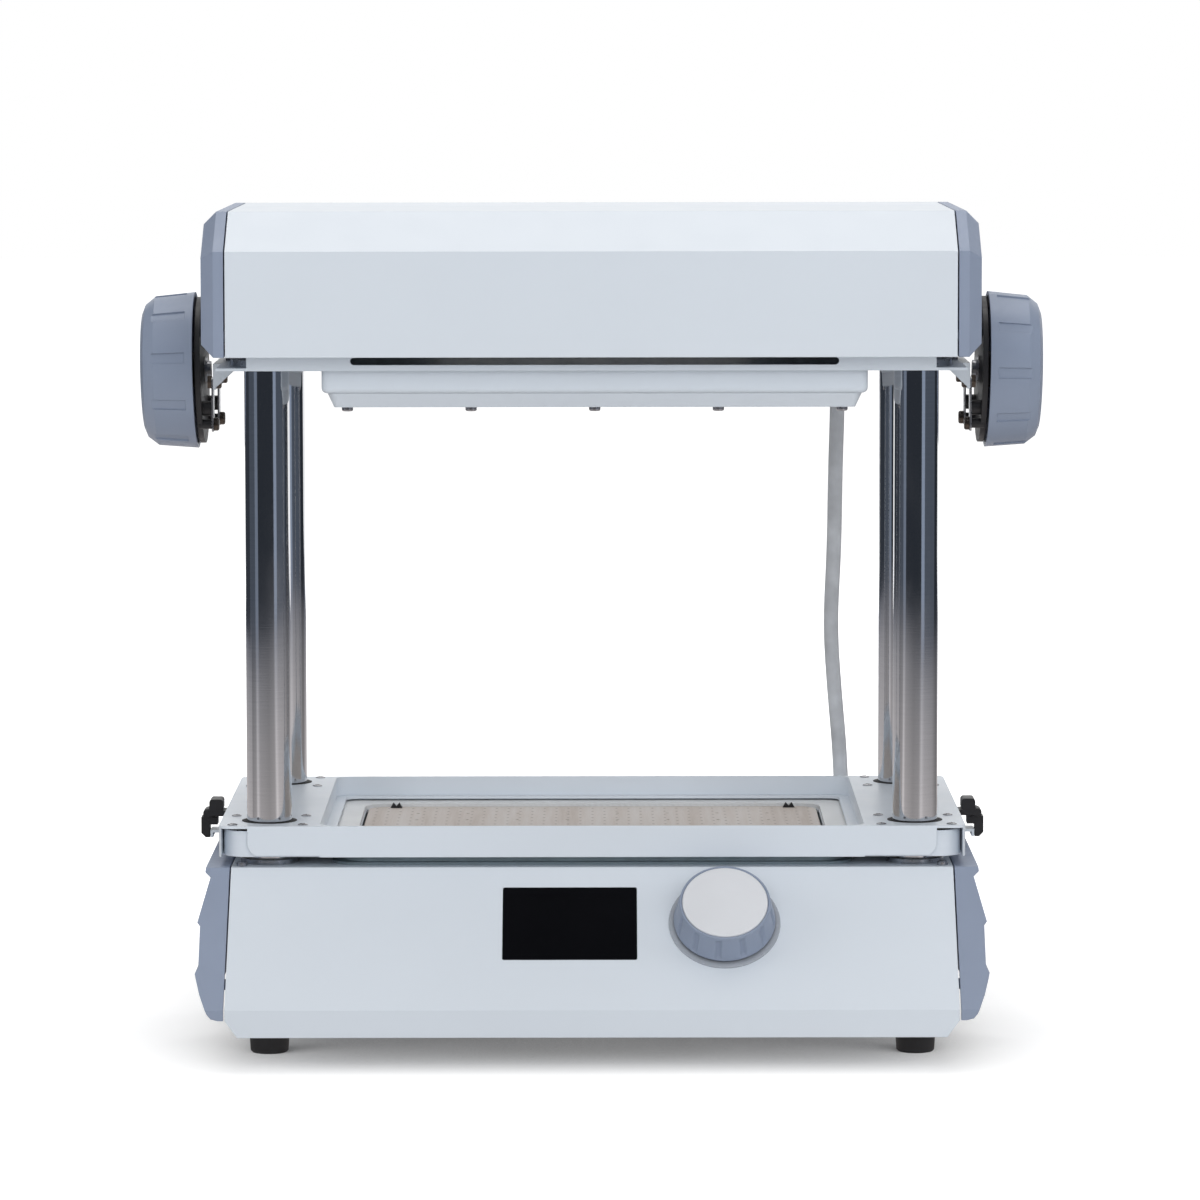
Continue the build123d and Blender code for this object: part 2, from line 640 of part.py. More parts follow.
GLASS_BACK = GLASS_T - GLASS_PROUD
PANEL_BOARD_W = 156.0
PANEL_BOARD_H = 60.0
PANEL_BOARD_X = 26.0
with BuildPart() as control_board:
    with BuildSketch(FASCIA.offset(-BOARD_BACK)):
        with Locations((PANEL_BOARD_X, 0)):
            Rectangle(PANEL_BOARD_W, PANEL_BOARD_H)
        with Locations((KNOB_X, 0)):
            Circle(SHAFT_D / 2 + 2, mode=Mode.SUBTRACT)
    extrude(amount=PCB_T)
    with BuildSketch(FASCIA.offset(PCB_T - BOARD_BACK)):
        with Locations((SCREEN_X, 0)):
            Rectangle(SCREEN_W + 4, SCREEN_H + 3)
    extrude(amount=BOARD_BACK - PCB_T - GLASS_BACK)
    with BuildSketch(FASCIA.offset(PCB_T - BOARD_BACK)):
        with Locations((PANEL_BOARD_X, 0)), GridLocations(PANEL_BOARD_W - 8, PANEL_BOARD_H - 4, 2, 2):
            Circle(2.5)
    extrude(amount=BOARD_BACK - PCB_T - SHEET)
keep(control_board, "control_board")

ENCODER_W = 13.0
ENCODER_T = 7.0
with BuildPart() as rotary_encoder:
    with BuildSketch(KNOB_PLANE.offset(PCB_T - BOARD_BACK)):
        RectangleRounded(ENCODER_W, ENCODER_W, 1)
    extrude(amount=ENCODER_T)
    with BuildSketch(KNOB_PLANE.offset(PCB_T - BOARD_BACK)):
        Circle(4.5)
    extrude(amount=ENCODER_T + 3)
    with BuildSketch(KNOB_PLANE.offset(PCB_T - BOARD_BACK)):
        Circle(SHAFT_D / 2 + RUN_GAP)
    extrude(amount=ENCODER_T + 3, mode=Mode.SUBTRACT)
keep(rotary_encoder, "rotary_encoder")

PRESS_TRAVEL = 1.0
SHAFT_BACK = PCB_T - BOARD_BACK + 1.5
SHAFT_END = KNOB_H - 6.0
with BuildPart() as encoder_shaft:
    with BuildSketch(KNOB_PLANE.offset(SHAFT_BACK)):
        Circle(SHAFT_D / 2)
    extrude(amount=SHAFT_END - SHAFT_BACK)
    chamfer(encoder_shaft.edges().filter_by(GeomType.CIRCLE), 0.4)
keep(encoder_shaft, "encoder_shaft")

KNOB_LIFT = BEZEL_H + 1.5  # skirt above the fascia, more than the press travel
BEZEL_LAND = 5.0
BEZEL_LAND_H = 0.4
BEZEL_BORE_R = BEZEL_D / 2 - 10.0
BEZEL_DEEP = 5.0
with BuildPart() as knob_bezel:
    with BuildSketch(section(KNOB_PLANE)):
        with BuildLine():
            Polyline(
                (BEZEL_BORE_R, BEZEL_LAND_H),
                (BEZEL_D / 2 - BEZEL_LAND, BEZEL_LAND_H),
                (BEZEL_D / 2 - 2, BEZEL_H),
                (BEZEL_D / 2 - 0.6, BEZEL_H),
                (BEZEL_D / 2, BEZEL_H / 2),
                (BEZEL_D / 2, 0),
                (BEZEL_D / 2 - BEZEL_NECK - SLIDE_GAP, 0),
                (BEZEL_D / 2 - BEZEL_NECK - SLIDE_GAP, -BEZEL_DEEP),
                (BEZEL_BORE_R, -BEZEL_DEEP),
                close=True,
            )
        make_face()
    revolve(axis=KNOB_AXIS)
keep(knob_bezel, "knob_bezel")

KNOB_CAP_D = KNOB_TOP_D - 2.0
CAP_SEAT = KNOB_H - 2.4
FLUTE_W = 2.4
FLUTE_DEPTH = 0.9
FLUTE_START = KNOB_LIFT + 1.5
FLUTE_END = KNOB_H - 3.5
HUB_D = 14.0
with BuildPart() as control_knob:
    with BuildSketch(section(KNOB_PLANE)):
        with BuildLine():
            Polyline(
                (SHAFT_D / 2 + RUN_GAP, KNOB_LIFT + 2),
                (HUB_D / 2, KNOB_LIFT + 2),
                (HUB_D / 2, CAP_SEAT - KNOB_WALL),
                (KNOB_TOP_D / 2 - KNOB_WALL, CAP_SEAT - KNOB_WALL),
                (KNOB_BASE_D / 2 - KNOB_WALL, KNOB_LIFT),
                (KNOB_BASE_D / 2 - 0.5, KNOB_LIFT),
                (KNOB_BASE_D / 2, KNOB_LIFT + 0.6),
                (KNOB_TOP_D / 2, KNOB_H - 0.5),
                (KNOB_TOP_D / 2 - 0.4, KNOB_H),
                (KNOB_CAP_D / 2, KNOB_H),
                (KNOB_CAP_D / 2, CAP_SEAT),
                (SHAFT_D / 2 + RUN_GAP, CAP_SEAT),
                close=True,
            )
        make_face()
    revolve(axis=KNOB_AXIS)
    with BuildSketch(KNOB_PLANE.offset(FLUTE_START)):
        with PolarLocations(KNOB_BASE_D / 2, KNOB_FLUTES, start_angle=180 / KNOB_FLUTES):
            Rectangle(2 * FLUTE_DEPTH, FLUTE_W)
    extrude(amount=FLUTE_END - FLUTE_START, mode=Mode.SUBTRACT)
keep(control_knob, "control_knob")

with BuildPart() as knob_cap:
    with BuildSketch(KNOB_PLANE.offset(CAP_SEAT)):
        Circle(KNOB_CAP_D / 2 - 0.15)
    extrude(amount=KNOB_H - CAP_SEAT + 0.2)
    fillet(knob_cap.edges().filter_by(GeomType.CIRCLE).sort_by(Axis.Z)[-1], 0.8)
keep(knob_cap, "knob_cap")

# ---------------------------------------------------------------- mains inlet and switch
INLET_PLANE = Plane(origin=(INLET_X, BASE_BACK, INLET_Z), x_dir=(-1, 0, 0), z_dir=(0, 1, 0))
INLET_FLANGE_T = 2.5
INLET_DEPTH = 22.0
SOCKET_W = 24.4
SOCKET_T = 16.8
PIN_REACH = 11.0
with BuildPart() as mains_inlet:
    with BuildSketch(INLET_PLANE):
        RectangleRounded(INLET_W + 6, INLET_H + 6, 3)
    extrude(amount=INLET_FLANGE_T)
    with BuildSketch(INLET_PLANE):
        Rectangle(INLET_W - 0.4, INLET_H - 0.4)
    extrude(amount=-INLET_DEPTH)
    with BuildSketch(INLET_PLANE.offset(INLET_FLANGE_T)):
        RectangleRounded(SOCKET_W, SOCKET_T, 3)
    extrude(amount=-INLET_DEPTH + 2, mode=Mode.SUBTRACT)
    with BuildSketch(INLET_PLANE.offset(1.5 - INLET_DEPTH + INLET_FLANGE_T)):
        with Locations((-7, -2), (0, 2), (7, -2)):
            Rectangle(2, 4)
    extrude(amount=PIN_REACH)
keep(mains_inlet, "mains_inlet")

SWITCH_PLANE = Plane(origin=(SWITCH_X, BASE_BACK, INLET_Z), x_dir=(-1, 0, 0), z_dir=(0, 1, 0))
ROCKER_W = SWITCH_W - 4
ROCKER_H = SWITCH_H - 4
ROCKER_PIVOT = -3.0
with BuildPart() as switch_housing:
    with BuildSketch(SWITCH_PLANE):
        RectangleRounded(SWITCH_W + 2, SWITCH_H + 2, 1)
    extrude(amount=1.5)
    with BuildSketch(SWITCH_PLANE):
        Rectangle(SWITCH_W - 2.4, SWITCH_H - 2.4)
    extrude(amount=-16)
    with BuildSketch(SWITCH_PLANE.offset(1.5)):
        Rectangle(ROCKER_W + 2 * SLIDE_GAP, ROCKER_H + 2 * SLIDE_GAP)
    extrude(amount=-14, mode=Mode.SUBTRACT)
keep(switch_housing, "switch_housing")

with BuildPart() as switch_rocker:
    with BuildSketch(Plane.XY.move(Location((SWITCH_X, BASE_BACK + ROCKER_PIVOT, INLET_Z)))):
        with BuildLine():
            Polyline(
                (-ROCKER_W / 2 + 0.5, 5.6),
                (0, 4.6),
                (ROCKER_W / 2 - 0.5, 5.6),
                (ROCKER_W / 2 - 1.2, 1),
                (3, -4),
                (-3, -4),
                (-ROCKER_W / 2 + 1.2, 1),
                close=True,
            )
        make_face()
    extrude(amount=ROCKER_H / 2, both=True)
keep(switch_rocker, "switch_rocker")

# ---------------------------------------------------------------- carriage: lower frame on the posts
FRAME_GAP = 0.6
LOWER_W = CARRIAGE_W - 2 * SHEET - 2 * FRAME_GAP
LOWER_D = CARRIAGE_D - 2 * SHEET - 2 * FRAME_GAP
LOWER_R = 14.0
LIP_TOP = CARRIAGE_TOP - 3
LEDGE_W = BOARD_W + 2 * LEDGE_GAP
LEDGE_D = BOARD_D + 2 * LEDGE_GAP
LEDGE_R = BOARD_R + LEDGE_GAP
WELL_D = CARRIAGE_D - 2 * SHEET
with BuildPart() as lower_frame:
    with BuildSketch(Plane.XY.offset(CARRIAGE_Z)):
        with Locations(BED_CENTRE):
            RectangleRounded(LOWER_W, LOWER_D, LOWER_R)
    extrude(amount=LIP_TOP - CARRIAGE_Z)
    with BuildSketch(Plane.XY.offset(LEDGE_TOP)):
        with Locations(BED_CENTRE):
            RectangleRounded(LOWER_W - 2 * SHEET, LOWER_D - 2 * SHEET, LOWER_R - SHEET)
            Rectangle(WELL_W + 2 * SHEET + 4 * FRAME_GAP, CARRIAGE_D)
    extrude(amount=CARRIAGE_TOP, mode=Mode.SUBTRACT)
    with BuildSketch(Plane.XY.offset(CARRIAGE_Z)):
        with Locations(BED_CENTRE):
            RectangleRounded(LEDGE_W, LEDGE_D, LEDGE_R)
        with Locations(*POST_PLACES):
            Circle(BUSH_OD / 2)
    extrude(amount=2 * SHEET, mode=Mode.SUBTRACT)
keep(lower_frame, "lower_frame")

with BuildPart() as sheet_gasket:
    with BuildSketch(Plane.XY.offset(LEDGE_TOP)):
        with Locations(BED_CENTRE):
            RectangleRounded(WELL_W - 2, WELL_D - 2, WELL_R)
            RectangleRounded(LEDGE_W + 1, LEDGE_D + 1, LEDGE_R, mode=Mode.SUBTRACT)
    extrude(amount=GASKET_T)
keep(sheet_gasket, "sheet_gasket")

BUSH_TOP = CARRIAGE_TOP - 2.5
with BuildPart() as linear_bushes:
    with BuildSketch(Plane.XY.offset(CARRIAGE_Z - 1)):
        with Locations(*POST_PLACES):
            Circle(BUSH_OD / 2)
    extrude(amount=BUSH_TOP - CARRIAGE_Z + 1)
    with BuildSketch(Plane.XY.offset(LEDGE_TOP)):
        with Locations(*POST_PLACES):
            Circle(BUSH_FLANGE_D / 2)
    extrude(amount=BUSH_FLANGE_T)
    with BuildSketch(Plane.XY.offset(CARRIAGE_Z - 1)):
        with Locations(*POST_PLACES):
            Circle(POST_D / 2 + RUN_GAP)
    extrude(amount=CARRIAGE_TOP, mode=Mode.SUBTRACT)
keep(linear_bushes, "linear_bushes")

with BuildPart() as latch_keepers:
    with BuildSketch(Plane.XZ.offset(-POST_Y)):
        for s in (-1, 1):
            with BuildLine():
                Polyline(
                    (s * LOWER_W / 2, CARRIAGE_Z),
                    (s * (KEEPER_X - SHEET), CARRIAGE_Z),
                    (s * (KEEPER_X - SHEET), KEEPER_BOTTOM),
                    (s * KEEPER_X, KEEPER_BOTTOM),
                    (s * KEEPER_X, LEDGE_TOP),
                    (s * LOWER_W / 2, LEDGE_TOP),
                    close=True,
                )
            make_face()
    extrude(amount=LATCH_W / 2, both=True)
keep(latch_keepers, "latch_keepers")

# ---------------------------------------------------------------- clamp frame above it
RELIEF_X = FRONT_PANEL_W / 2
SKIRT_X = CARRIAGE_W / 2
CLAMP_SCREW_PLACES = [
    (x + dx, y + dy)
    for x, y in POST_PLACES
    for dx in (-CLAMP_SCREW_PITCH / 2, CLAMP_SCREW_PITCH / 2)
    for dy in (-CLAMP_SCREW_PITCH / 2, CLAMP_SCREW_PITCH / 2)
]
with BuildPart() as clamp_frame:
    with BuildSketch(Plane.XY.offset(CARRIAGE_Z)):
        with Locations(BED_CENTRE):
            RectangleRounded(CARRIAGE_W, CARRIAGE_D, CARRIAGE_R)
    extrude(amount=CARRIAGE_TOP - CARRIAGE_Z)
    with BuildSketch(Plane.XY.offset(CARRIAGE_Z)):
        with Locations(BED_CENTRE):
            RectangleRounded(CARRIAGE_W - 2 * SHEET, CARRIAGE_D - 2 * SHEET, CARRIAGE_R - SHEET)
    extrude(amount=CARRIAGE_TOP - CARRIAGE_Z - SHEET, mode=Mode.SUBTRACT)
    with BuildSketch(Plane.XY.offset(WELL_FLOOR)):
        with Locations(BED_CENTRE):
            RectangleRounded(WELL_W + 2 * SHEET, CARRIAGE_D, WELL_R + SHEET)
    extrude(amount=CARRIAGE_TOP - WELL_FLOOR)
    with BuildSketch(Plane.XY.offset(WELL_FLOOR + SHEET)):
        with Locations(BED_CENTRE):
            RectangleRounded(WELL_W, WELL_D, WELL_R)
    extrude(amount=CARRIAGE_TOP, mode=Mode.SUBTRACT)
    with BuildSketch(Plane.XY.offset(WELL_FLOOR)):
        with Locations(BED_CENTRE):
            RectangleRounded(WELL_W - 2 * WELL_LIP, WELL_D - 2 * WELL_LIP, WELL_R - 2)
    extrude(amount=CARRIAGE_TOP, mode=Mode.SUBTRACT)
    # open corners of the skirt, with the lower corners of the front and rear panels rounded
    with BuildSketch(Plane.XZ.offset(-POST_Y)):
        for s in (-1, 1):
            with BuildLine():
                Polyline(
                    (s * (RELIEF_X - FRONT_PANEL_R), CARRIAGE_Z),
                    (s * (SKIRT_X - SHEET), CARRIAGE_Z),
                    (s * (SKIRT_X - SHEET), CARRIAGE_TOP - SHEET),
                    (s * RELIEF_X, CARRIAGE_TOP - SHEET),
                    (s * RELIEF_X, CARRIAGE_Z + FRONT_PANEL_R),
                )
                RadiusArc(
                    (s * RELIEF_X, CARRIAGE_Z + FRONT_PANEL_R),
                    (s * (RELIEF_X - FRONT_PANEL_R), CARRIAGE_Z),
                    s * FRONT_PANEL_R,
                )
            make_face()
        with Locations((0, CARRIAGE_Z)):
            Rectangle(2 * RELIEF_X - FRONT_PANEL_R, 2 * FRONT_STEP)
            Rectangle(WELL_W, 2 * FRONT_STEP, mode=Mode.SUBTRACT)
    extrude(amount=CARRIAGE_D, both=True, mode=Mode.SUBTRACT)
    # windows in the side skirts for the latch keepers
    for s in SIDES.values():
        with BuildSketch(Plane.YZ.offset(s * (SKIRT_X - 2 * SHEET))):
            with Locations((POST_Y, CARRIAGE_Z)):
                Rectangle(LATCH_W + 4, 2 * (SHEET + 1))
        extrude(amount=s * 3 * SHEET, mode=Mode.SUBTRACT)
    with BuildSketch(Plane.XY.offset(CARRIAGE_TOP - 2 * SHEET)):
        with Locations(*POST_PLACES):
            Circle(RING_D / 2)
        with Locations(*CLAMP_SCREW_PLACES):
            Circle(CLAMP_SCREW_D / 2)
    extrude(amount=3 * SHEET, mode=Mode.SUBTRACT)
keep(clamp_frame, "clamp_frame")

RING_LIP = 1.6
RING_LIP_H = 1.4
with BuildPart() as post_rings:
    with BuildSketch(Plane.XY.offset(CARRIAGE_TOP - SHEET)):
        with Locations(*POST_PLACES):
            Circle(RING_D / 2)
    extrude(amount=SHEET)
    with BuildSketch(Plane.XY.offset(CARRIAGE_TOP)):
        with Locations(*POST_PLACES):
            Circle(RING_D / 2 + RING_LIP)
    extrude(amount=RING_LIP_H)
    fillet(post_rings.edges().group_by(Axis.Z)[-1], 0.8)
    with BuildSketch(Plane.XY.offset(CARRIAGE_TOP - 2 * SHEET)):
        with Locations(*POST_PLACES):
            Circle(POST_D / 2 + RUN_GAP)
    extrude(amount=4 * SHEET, mode=Mode.SUBTRACT)
keep(post_rings, "post_rings")

CLAMP_SCREW_HEAD_D = 5.6
CLAMP_SCREW_HEAD_H = 1.6
CLAMP_SCREW_L = 2.6
with BuildPart() as clamp_screws:
    with BuildSketch(Plane.XY.offset(CARRIAGE_TOP)):
        with Locations(*CLAMP_SCREW_PLACES):
            Circle(CLAMP_SCREW_HEAD_D / 2)
    extrude(amount=CLAMP_SCREW_HEAD_H)
    with BuildSketch(Plane.XY.offset(CARRIAGE_TOP)):
        with Locations(*CLAMP_SCREW_PLACES):
            Circle(CLAMP_SCREW_D / 2)
    extrude(amount=-CLAMP_SCREW_L)
keep(clamp_screws, "clamp_screws")

# Side latches: a black block on the clamp frame's skirt carries a swinging L-shaped lever.
BLOCK_IN = 211.0
BLOCK_OUT = 218.8
BLOCK_TOP = 129.6
BLOCK_SEAT_Z = 120.0
BLOCK_SEAT_H = 3.0
BLOCK_H = 7.1
EAR_T = 2.2
EAR_R = 2.3
BOSS_R = 2.5
LEVER_IN = 214.2
LEVER_LEG_X = 218.7
LEVER_OUT = 223.6
LEVER_BOTTOM = 107.6
LEVER_BAR_Z = 114.9
LEVER_BAR_TOP = 119.2
SLOT_HALF = LATCH_W / 2 - EAR_T
with BuildPart() as latch_brackets:
    with BuildSketch(Plane.XZ.offset(-POST_Y)):
        for s in (-1, 1):
            with Locations((s * (SKIRT_X + LATCH_PIN_X) / 2, BLOCK_SEAT_Z + BLOCK_SEAT_H / 2)):
                Rectangle(LATCH_PIN_X - SKIRT_X, BLOCK_SEAT_H)
            with Locations((s * (BLOCK_IN + BLOCK_OUT) / 2, BLOCK_TOP - BLOCK_H / 2)):
                RectangleRounded(BLOCK_OUT - BLOCK_IN, BLOCK_H, 1.8)
            with Locations((s * LATCH_PIN_X, LATCH_PIN_Z)):
                Circle(EAR_R)
    extrude(amount=LATCH_W / 2, both=True)
    with BuildSketch(Plane.XZ.offset(-POST_Y)):
        for s in (-1, 1):
            with Locations((s * LATCH_PIN_X, LATCH_PIN_Z)):
                Rectangle(2 * (BOSS_R + SLIDE_GAP), 2 * (BOSS_R + SLIDE_GAP))
    extrude(amount=SLOT_HALF, both=True, mode=Mode.SUBTRACT)
    with BuildSketch(Plane.XZ.offset(-POST_Y)):
        for s in (-1, 1):
            with Locations((s * LATCH_PIN_X, LATCH_PIN_Z)):
                Circle(LATCH_PIN_D / 2)
    extrude(amount=LATCH_W / 2, both=True)
keep(latch_brackets, "latch_brackets")

for side, s in SIDES.items():
    with BuildPart() as latch_lever:
        with BuildSketch(Plane.XZ.offset(-POST_Y)):
            with BuildLine():
                Polyline(
                    (s * (LATCH_PIN_X - BOSS_R), LATCH_PIN_Z),
                    (s * (LATCH_PIN_X - BOSS_R), LEVER_BAR_TOP),
                    (s * LEVER_IN, LEVER_BAR_TOP),
                    (s * LEVER_IN, LEVER_BAR_Z),
                    (s * LEVER_LEG_X, LEVER_BAR_Z),
                    (s * LEVER_LEG_X, LEVER_BOTTOM),
                    (s * (LEVER_OUT - 2.5), LEVER_BOTTOM),
                    (s * LEVER_OUT, LEVER_BOTTOM + 2.5),
                    (s * LEVER_OUT, LEVER_BAR_TOP),
                    (s * (LATCH_PIN_X + BOSS_R), LEVER_BAR_TOP),
                    (s * (LATCH_PIN_X + BOSS_R), LATCH_PIN_Z),
                    close=True,
                )
            make_face()
            with Locations((s * LATCH_PIN_X, LATCH_PIN_Z)):
                Circle(BOSS_R)
                Circle(LATCH_PIN_D / 2 + RUN_GAP, mode=Mode.SUBTRACT)
        extrude(amount=SLOT_HALF - SLIDE_GAP, both=True)
    keep(latch_lever, f"latch_lever_{side}")

# ---------------------------------------------------------------- head
COVER_OPEN_W = 392.0
COVER_OPEN_FRONT = -70.0
COVER_OPEN_BACK = 134.0
HEAD_PEGS = [(-96.5, 400.0), (-60.0, 461.0), (100.0, 461.0), (138.5, 400.0)]
TOP_GLAND_Z = CABLE_TOP + 14
with BuildPart() as top_cover:
    extrude(head_side(), amount=BODY_W / 2, both=True)
    extrude(head_side(SHEET), amount=BODY_W / 2 - SHEET, both=True, mode=Mode.SUBTRACT)
    extrude(head_side(RETURN_W), amount=BODY_W, both=True, mode=Mode.SUBTRACT)
    with BuildSketch(Plane.XY.offset(HEAD_Z)):
        with Locations((0, (COVER_OPEN_FRONT + COVER_OPEN_BACK) / 2)):
            Rectangle(COVER_OPEN_W, COVER_OPEN_BACK - COVER_OPEN_FRONT)
    extrude(amount=SHEET, mode=Mode.SUBTRACT)
    with BuildSketch(Plane.YZ):
        with Locations(*HEAD_PEGS):
            Circle(PEG_D / 2)
    extrude(amount=BODY_W, both=True, mode=Mode.SUBTRACT)
    with BuildSketch(Plane.XZ.offset(-HEAD_BACK - SHEET)):
        with Locations((CABLE_X, TOP_GLAND_Z)):
            Circle(GLAND_HOLE_D / 2)
        with Locations((0, HEAD_Z + 36)), GridLocations(LOUVRE_PITCH, 1, 20, 1):
            SlotOverall(LOUVRE_H, LOUVRE_W, rotation=90)
    extrude(amount=3 * SHEET, mode=Mode.SUBTRACT)
keep(top_cover, "top_cover")

HEAD_CAP_X = BODY_W / 2 + PANEL_GAP
for side, s in SIDES.items():
    with BuildPart() as top_cap:
        extrude(head_side(), amount=s * (HEAD_CAP_X + CAP_T))
        chamfer(top_cap.faces().sort_by(Axis.X)[-1 if s > 0 else 0].edges(), CAP_CHAMFER)
        with BuildSketch(Plane.YZ):
            Rectangle(2 * BODY_W, 4 * HEAD_TOP)
        extrude(amount=s * HEAD_CAP_X, mode=Mode.SUBTRACT)
        extrude(head_side(CAP_WALL), amount=s * (HEAD_CAP_X + CAP_T - CAP_CHAMFER), mode=Mode.SUBTRACT)
        with BuildSketch(Plane.YZ.offset(s * (HEAD_CAP_X + CAP_T - CAP_CHAMFER))):
            with Locations(*HEAD_PEGS):
                Circle(PEG_D / 2)
        extrude(amount=-s * (CAP_T - CAP_CHAMFER + PANEL_GAP + 2 * SHEET))
    keep(top_cap, f"top_cap_{side}")

VENT_Z = CHASSIS_Z + 5.4
VENT_H = 4.2
HEATER_CENTRE = (HEATER_X, POST_Y)
BRACKET_SCREW_X = 205.0
BRACKET_SCREW_PITCH = 52.0
BRACKET_PLACES = [
    (s * BRACKET_SCREW_X, POST_Y + t * BRACKET_SCREW_PITCH / 2) for s in (-1, 1) for t in (-1, 1)
]
BRACKET_SCREW_D = 3.0
HARNESS_HOLE = 40.0
with BuildPart() as chassis_plate:
    with BuildSketch(Plane.XY.offset(CHASSIS_Z)):
        with Locations((0, (CHASSIS_FRONT + CHASSIS_BACK) / 2)):
            Rectangle(CHASSIS_W, CHASSIS_BACK - CHASSIS_FRONT)
    extrude(amount=CHASSIS_T)
    with BuildSketch(Plane.XY.offset(CHASSIS_Z)):
        with Locations((0, CHASSIS_FRONT + SHEET / 2), (0, CHASSIS_BACK - SHEET / 2)):
            Rectangle(CHASSIS_FLANGE_W, SHEET)
    extrude(amount=HEAD_Z - CHASSIS_Z)
    with BuildSketch(Plane.XZ.offset(-CHASSIS_FRONT + 2 * SHEET)):
        with Locations((HEATER_X, VENT_Z)):
            SlotOverall(VENT_W, VENT_H)
    extrude(amount=-4 * SHEET, mode=Mode.SUBTRACT)
    with BuildSketch(Plane.XY.offset(CHASSIS_Z)):
        with Locations(*POST_PLACES):
            Circle(POST_D / 2 + SLIDE_GAP)
        with Locations(*BRACKET_PLACES):
            Circle(BRACKET_SCREW_D / 2)
        with Locations((HEATER_X, POST_Y + HEATER_D / 4)):
            RectangleRounded(2 * HARNESS_HOLE, HARNESS_HOLE, 6)
    extrude(amount=CHASSIS_T, mode=Mode.SUBTRACT)
keep(chassis_plate, "chassis_plate")

BOX_RETURN = 12.0
RIM_TOP = HEATER_BOTTOM
RIM_BOTTOM = RIM_TOP - RIM_H
with BuildPart() as heater_box:
    with BuildSketch(Plane.XY.offset(HEATER_BOTTOM)):
        with Locations(HEATER_CENTRE):
            RectangleRounded(HEATER_W, HEATER_D, HEATER_R)
    extrude(amount=CHASSIS_Z - HEATER_BOTTOM)
    fillet(heater_box.edges().group_by(Axis.Z)[0], HEATER_R - 1)
    with BuildSketch(Plane.XY.offset(HEATER_BOTTOM + SHEET)):
        with Locations(HEATER_CENTRE):
            RectangleRounded(HEATER_W - 2 * SHEET, HEATER_D - 2 * SHEET, HEATER_R - SHEET)
    extrude(amount=CHASSIS_Z, mode=Mode.SUBTRACT)
    with BuildSketch(Plane.XY.offset(HEATER_BOTTOM)):
        with Locations(HEATER_CENTRE):
            Rectangle(HEATER_W - 2 * BOX_RETURN, HEATER_D - 2 * BOX_RETURN)
    extrude(amount=SHEET, mode=Mode.SUBTRACT)
keep(heater_box, "heater_box")

RIM_DRAW = RIM_H * tan(radians(RIM_TAPER))
RIM_LOW_W = RIM_W - 2 * RIM_DRAW
RIM_LOW_D = RIM_D - 2 * RIM_DRAW
RIM_SCREW_PITCH = 68.5
RIM_SCREW_Y = RIM_LOW_D / 2 - RIM_INSET / 2
RIM_SCREW_D = 3.0
with BuildPart() as heater_rim:
    with BuildSketch(Plane.XY.offset(RIM_TOP)):
        with Locations(HEATER_CENTRE):
            RectangleRounded(RIM_W, RIM_D, 6)
    extrude(amount=-RIM_H, taper=RIM_TAPER)
    with BuildSketch(Plane.XY.offset(RIM_TOP)):
        with Locations(HEATER_CENTRE):
            RectangleRounded(RIM_W - 4 * SHEET, RIM_D - 4 * SHEET, 5)
    extrude(amount=-RIM_H + SHEET, taper=RIM_TAPER, mode=Mode.SUBTRACT)
    with BuildSketch(Plane.XY.offset(RIM_BOTTOM)):
        with Locations(HEATER_CENTRE):
            RectangleRounded(RIM_LOW_W - 2 * RIM_INSET, RIM_LOW_D - 2 * RIM_INSET, 4)
    extrude(amount=RIM_H, mode=Mode.SUBTRACT)
keep(heater_rim, "heater_rim")

SCREW_ROW = [
    (HEATER_X + RIM_SCREW_PITCH * k, POST_Y + y)
    for k in range(-2, 3)
    for y in (-RIM_SCREW_Y, RIM_SCREW_Y)
]
PAN_HEAD_D = 6.4
PAN_HEAD_H = 2.4
REFLECTOR_GAP = 10.0
REFLECTOR_W = HEATER_W - 2 * REFLECTOR_GAP
REFLECTOR_D = HEATER_D - 2 * REFLECTOR_GAP
REFLECTOR_TOP = CHASSIS_Z - 0.9
REFLECTOR_T = 1.2
REFLECTOR_H = 10.5
REFLECTOR_DRAW = 10.0
with BuildPart() as heater_reflector:
    with BuildSketch(Plane.XY.offset(REFLECTOR_TOP)):
        with Locations(HEATER_CENTRE):
            Rectangle(REFLECTOR_W, REFLECTOR_D)
    extrude(amount=-REFLECTOR_H, taper=-REFLECTOR_DRAW)
    with BuildSketch(Plane.XY.offset(REFLECTOR_TOP - REFLECTOR_T)):
        with Locations(HEATER_CENTRE):
            Rectangle(REFLECTOR_W - 2 * REFLECTOR_T, REFLECTOR_D - 2 * REFLECTOR_T)
    extrude(amount=-REFLECTOR_H, taper=-REFLECTOR_DRAW, mode=Mode.SUBTRACT)
    with BuildSketch(Plane.XY.offset(REFLECTOR_TOP)):
        with Locations(HEATER_CENTRE), GridLocations(REFLECTOR_W - 30, REFLECTOR_D - 12, 2, 2):
            Circle(4)
    extrude(amount=CHASSIS_Z - REFLECTOR_TOP)
keep(heater_reflector, "heater_reflector")

TUBE_ROWS = [POST_Y + TUBE_PITCH * (k - (TUBE_COUNT - 1) / 2) for k in range(TUBE_COUNT)]
with BuildPart() as heater_tubes:
    with BuildSketch(Plane.YZ.offset(HEATER_X - TUBE_L / 2)):
        with Locations(*[(y, TUBE_Z) for y in TUBE_ROWS]):
            Circle(TUBE_D / 2)
    extrude(amount=TUBE_L)
keep(heater_tubes, "heater_tubes")

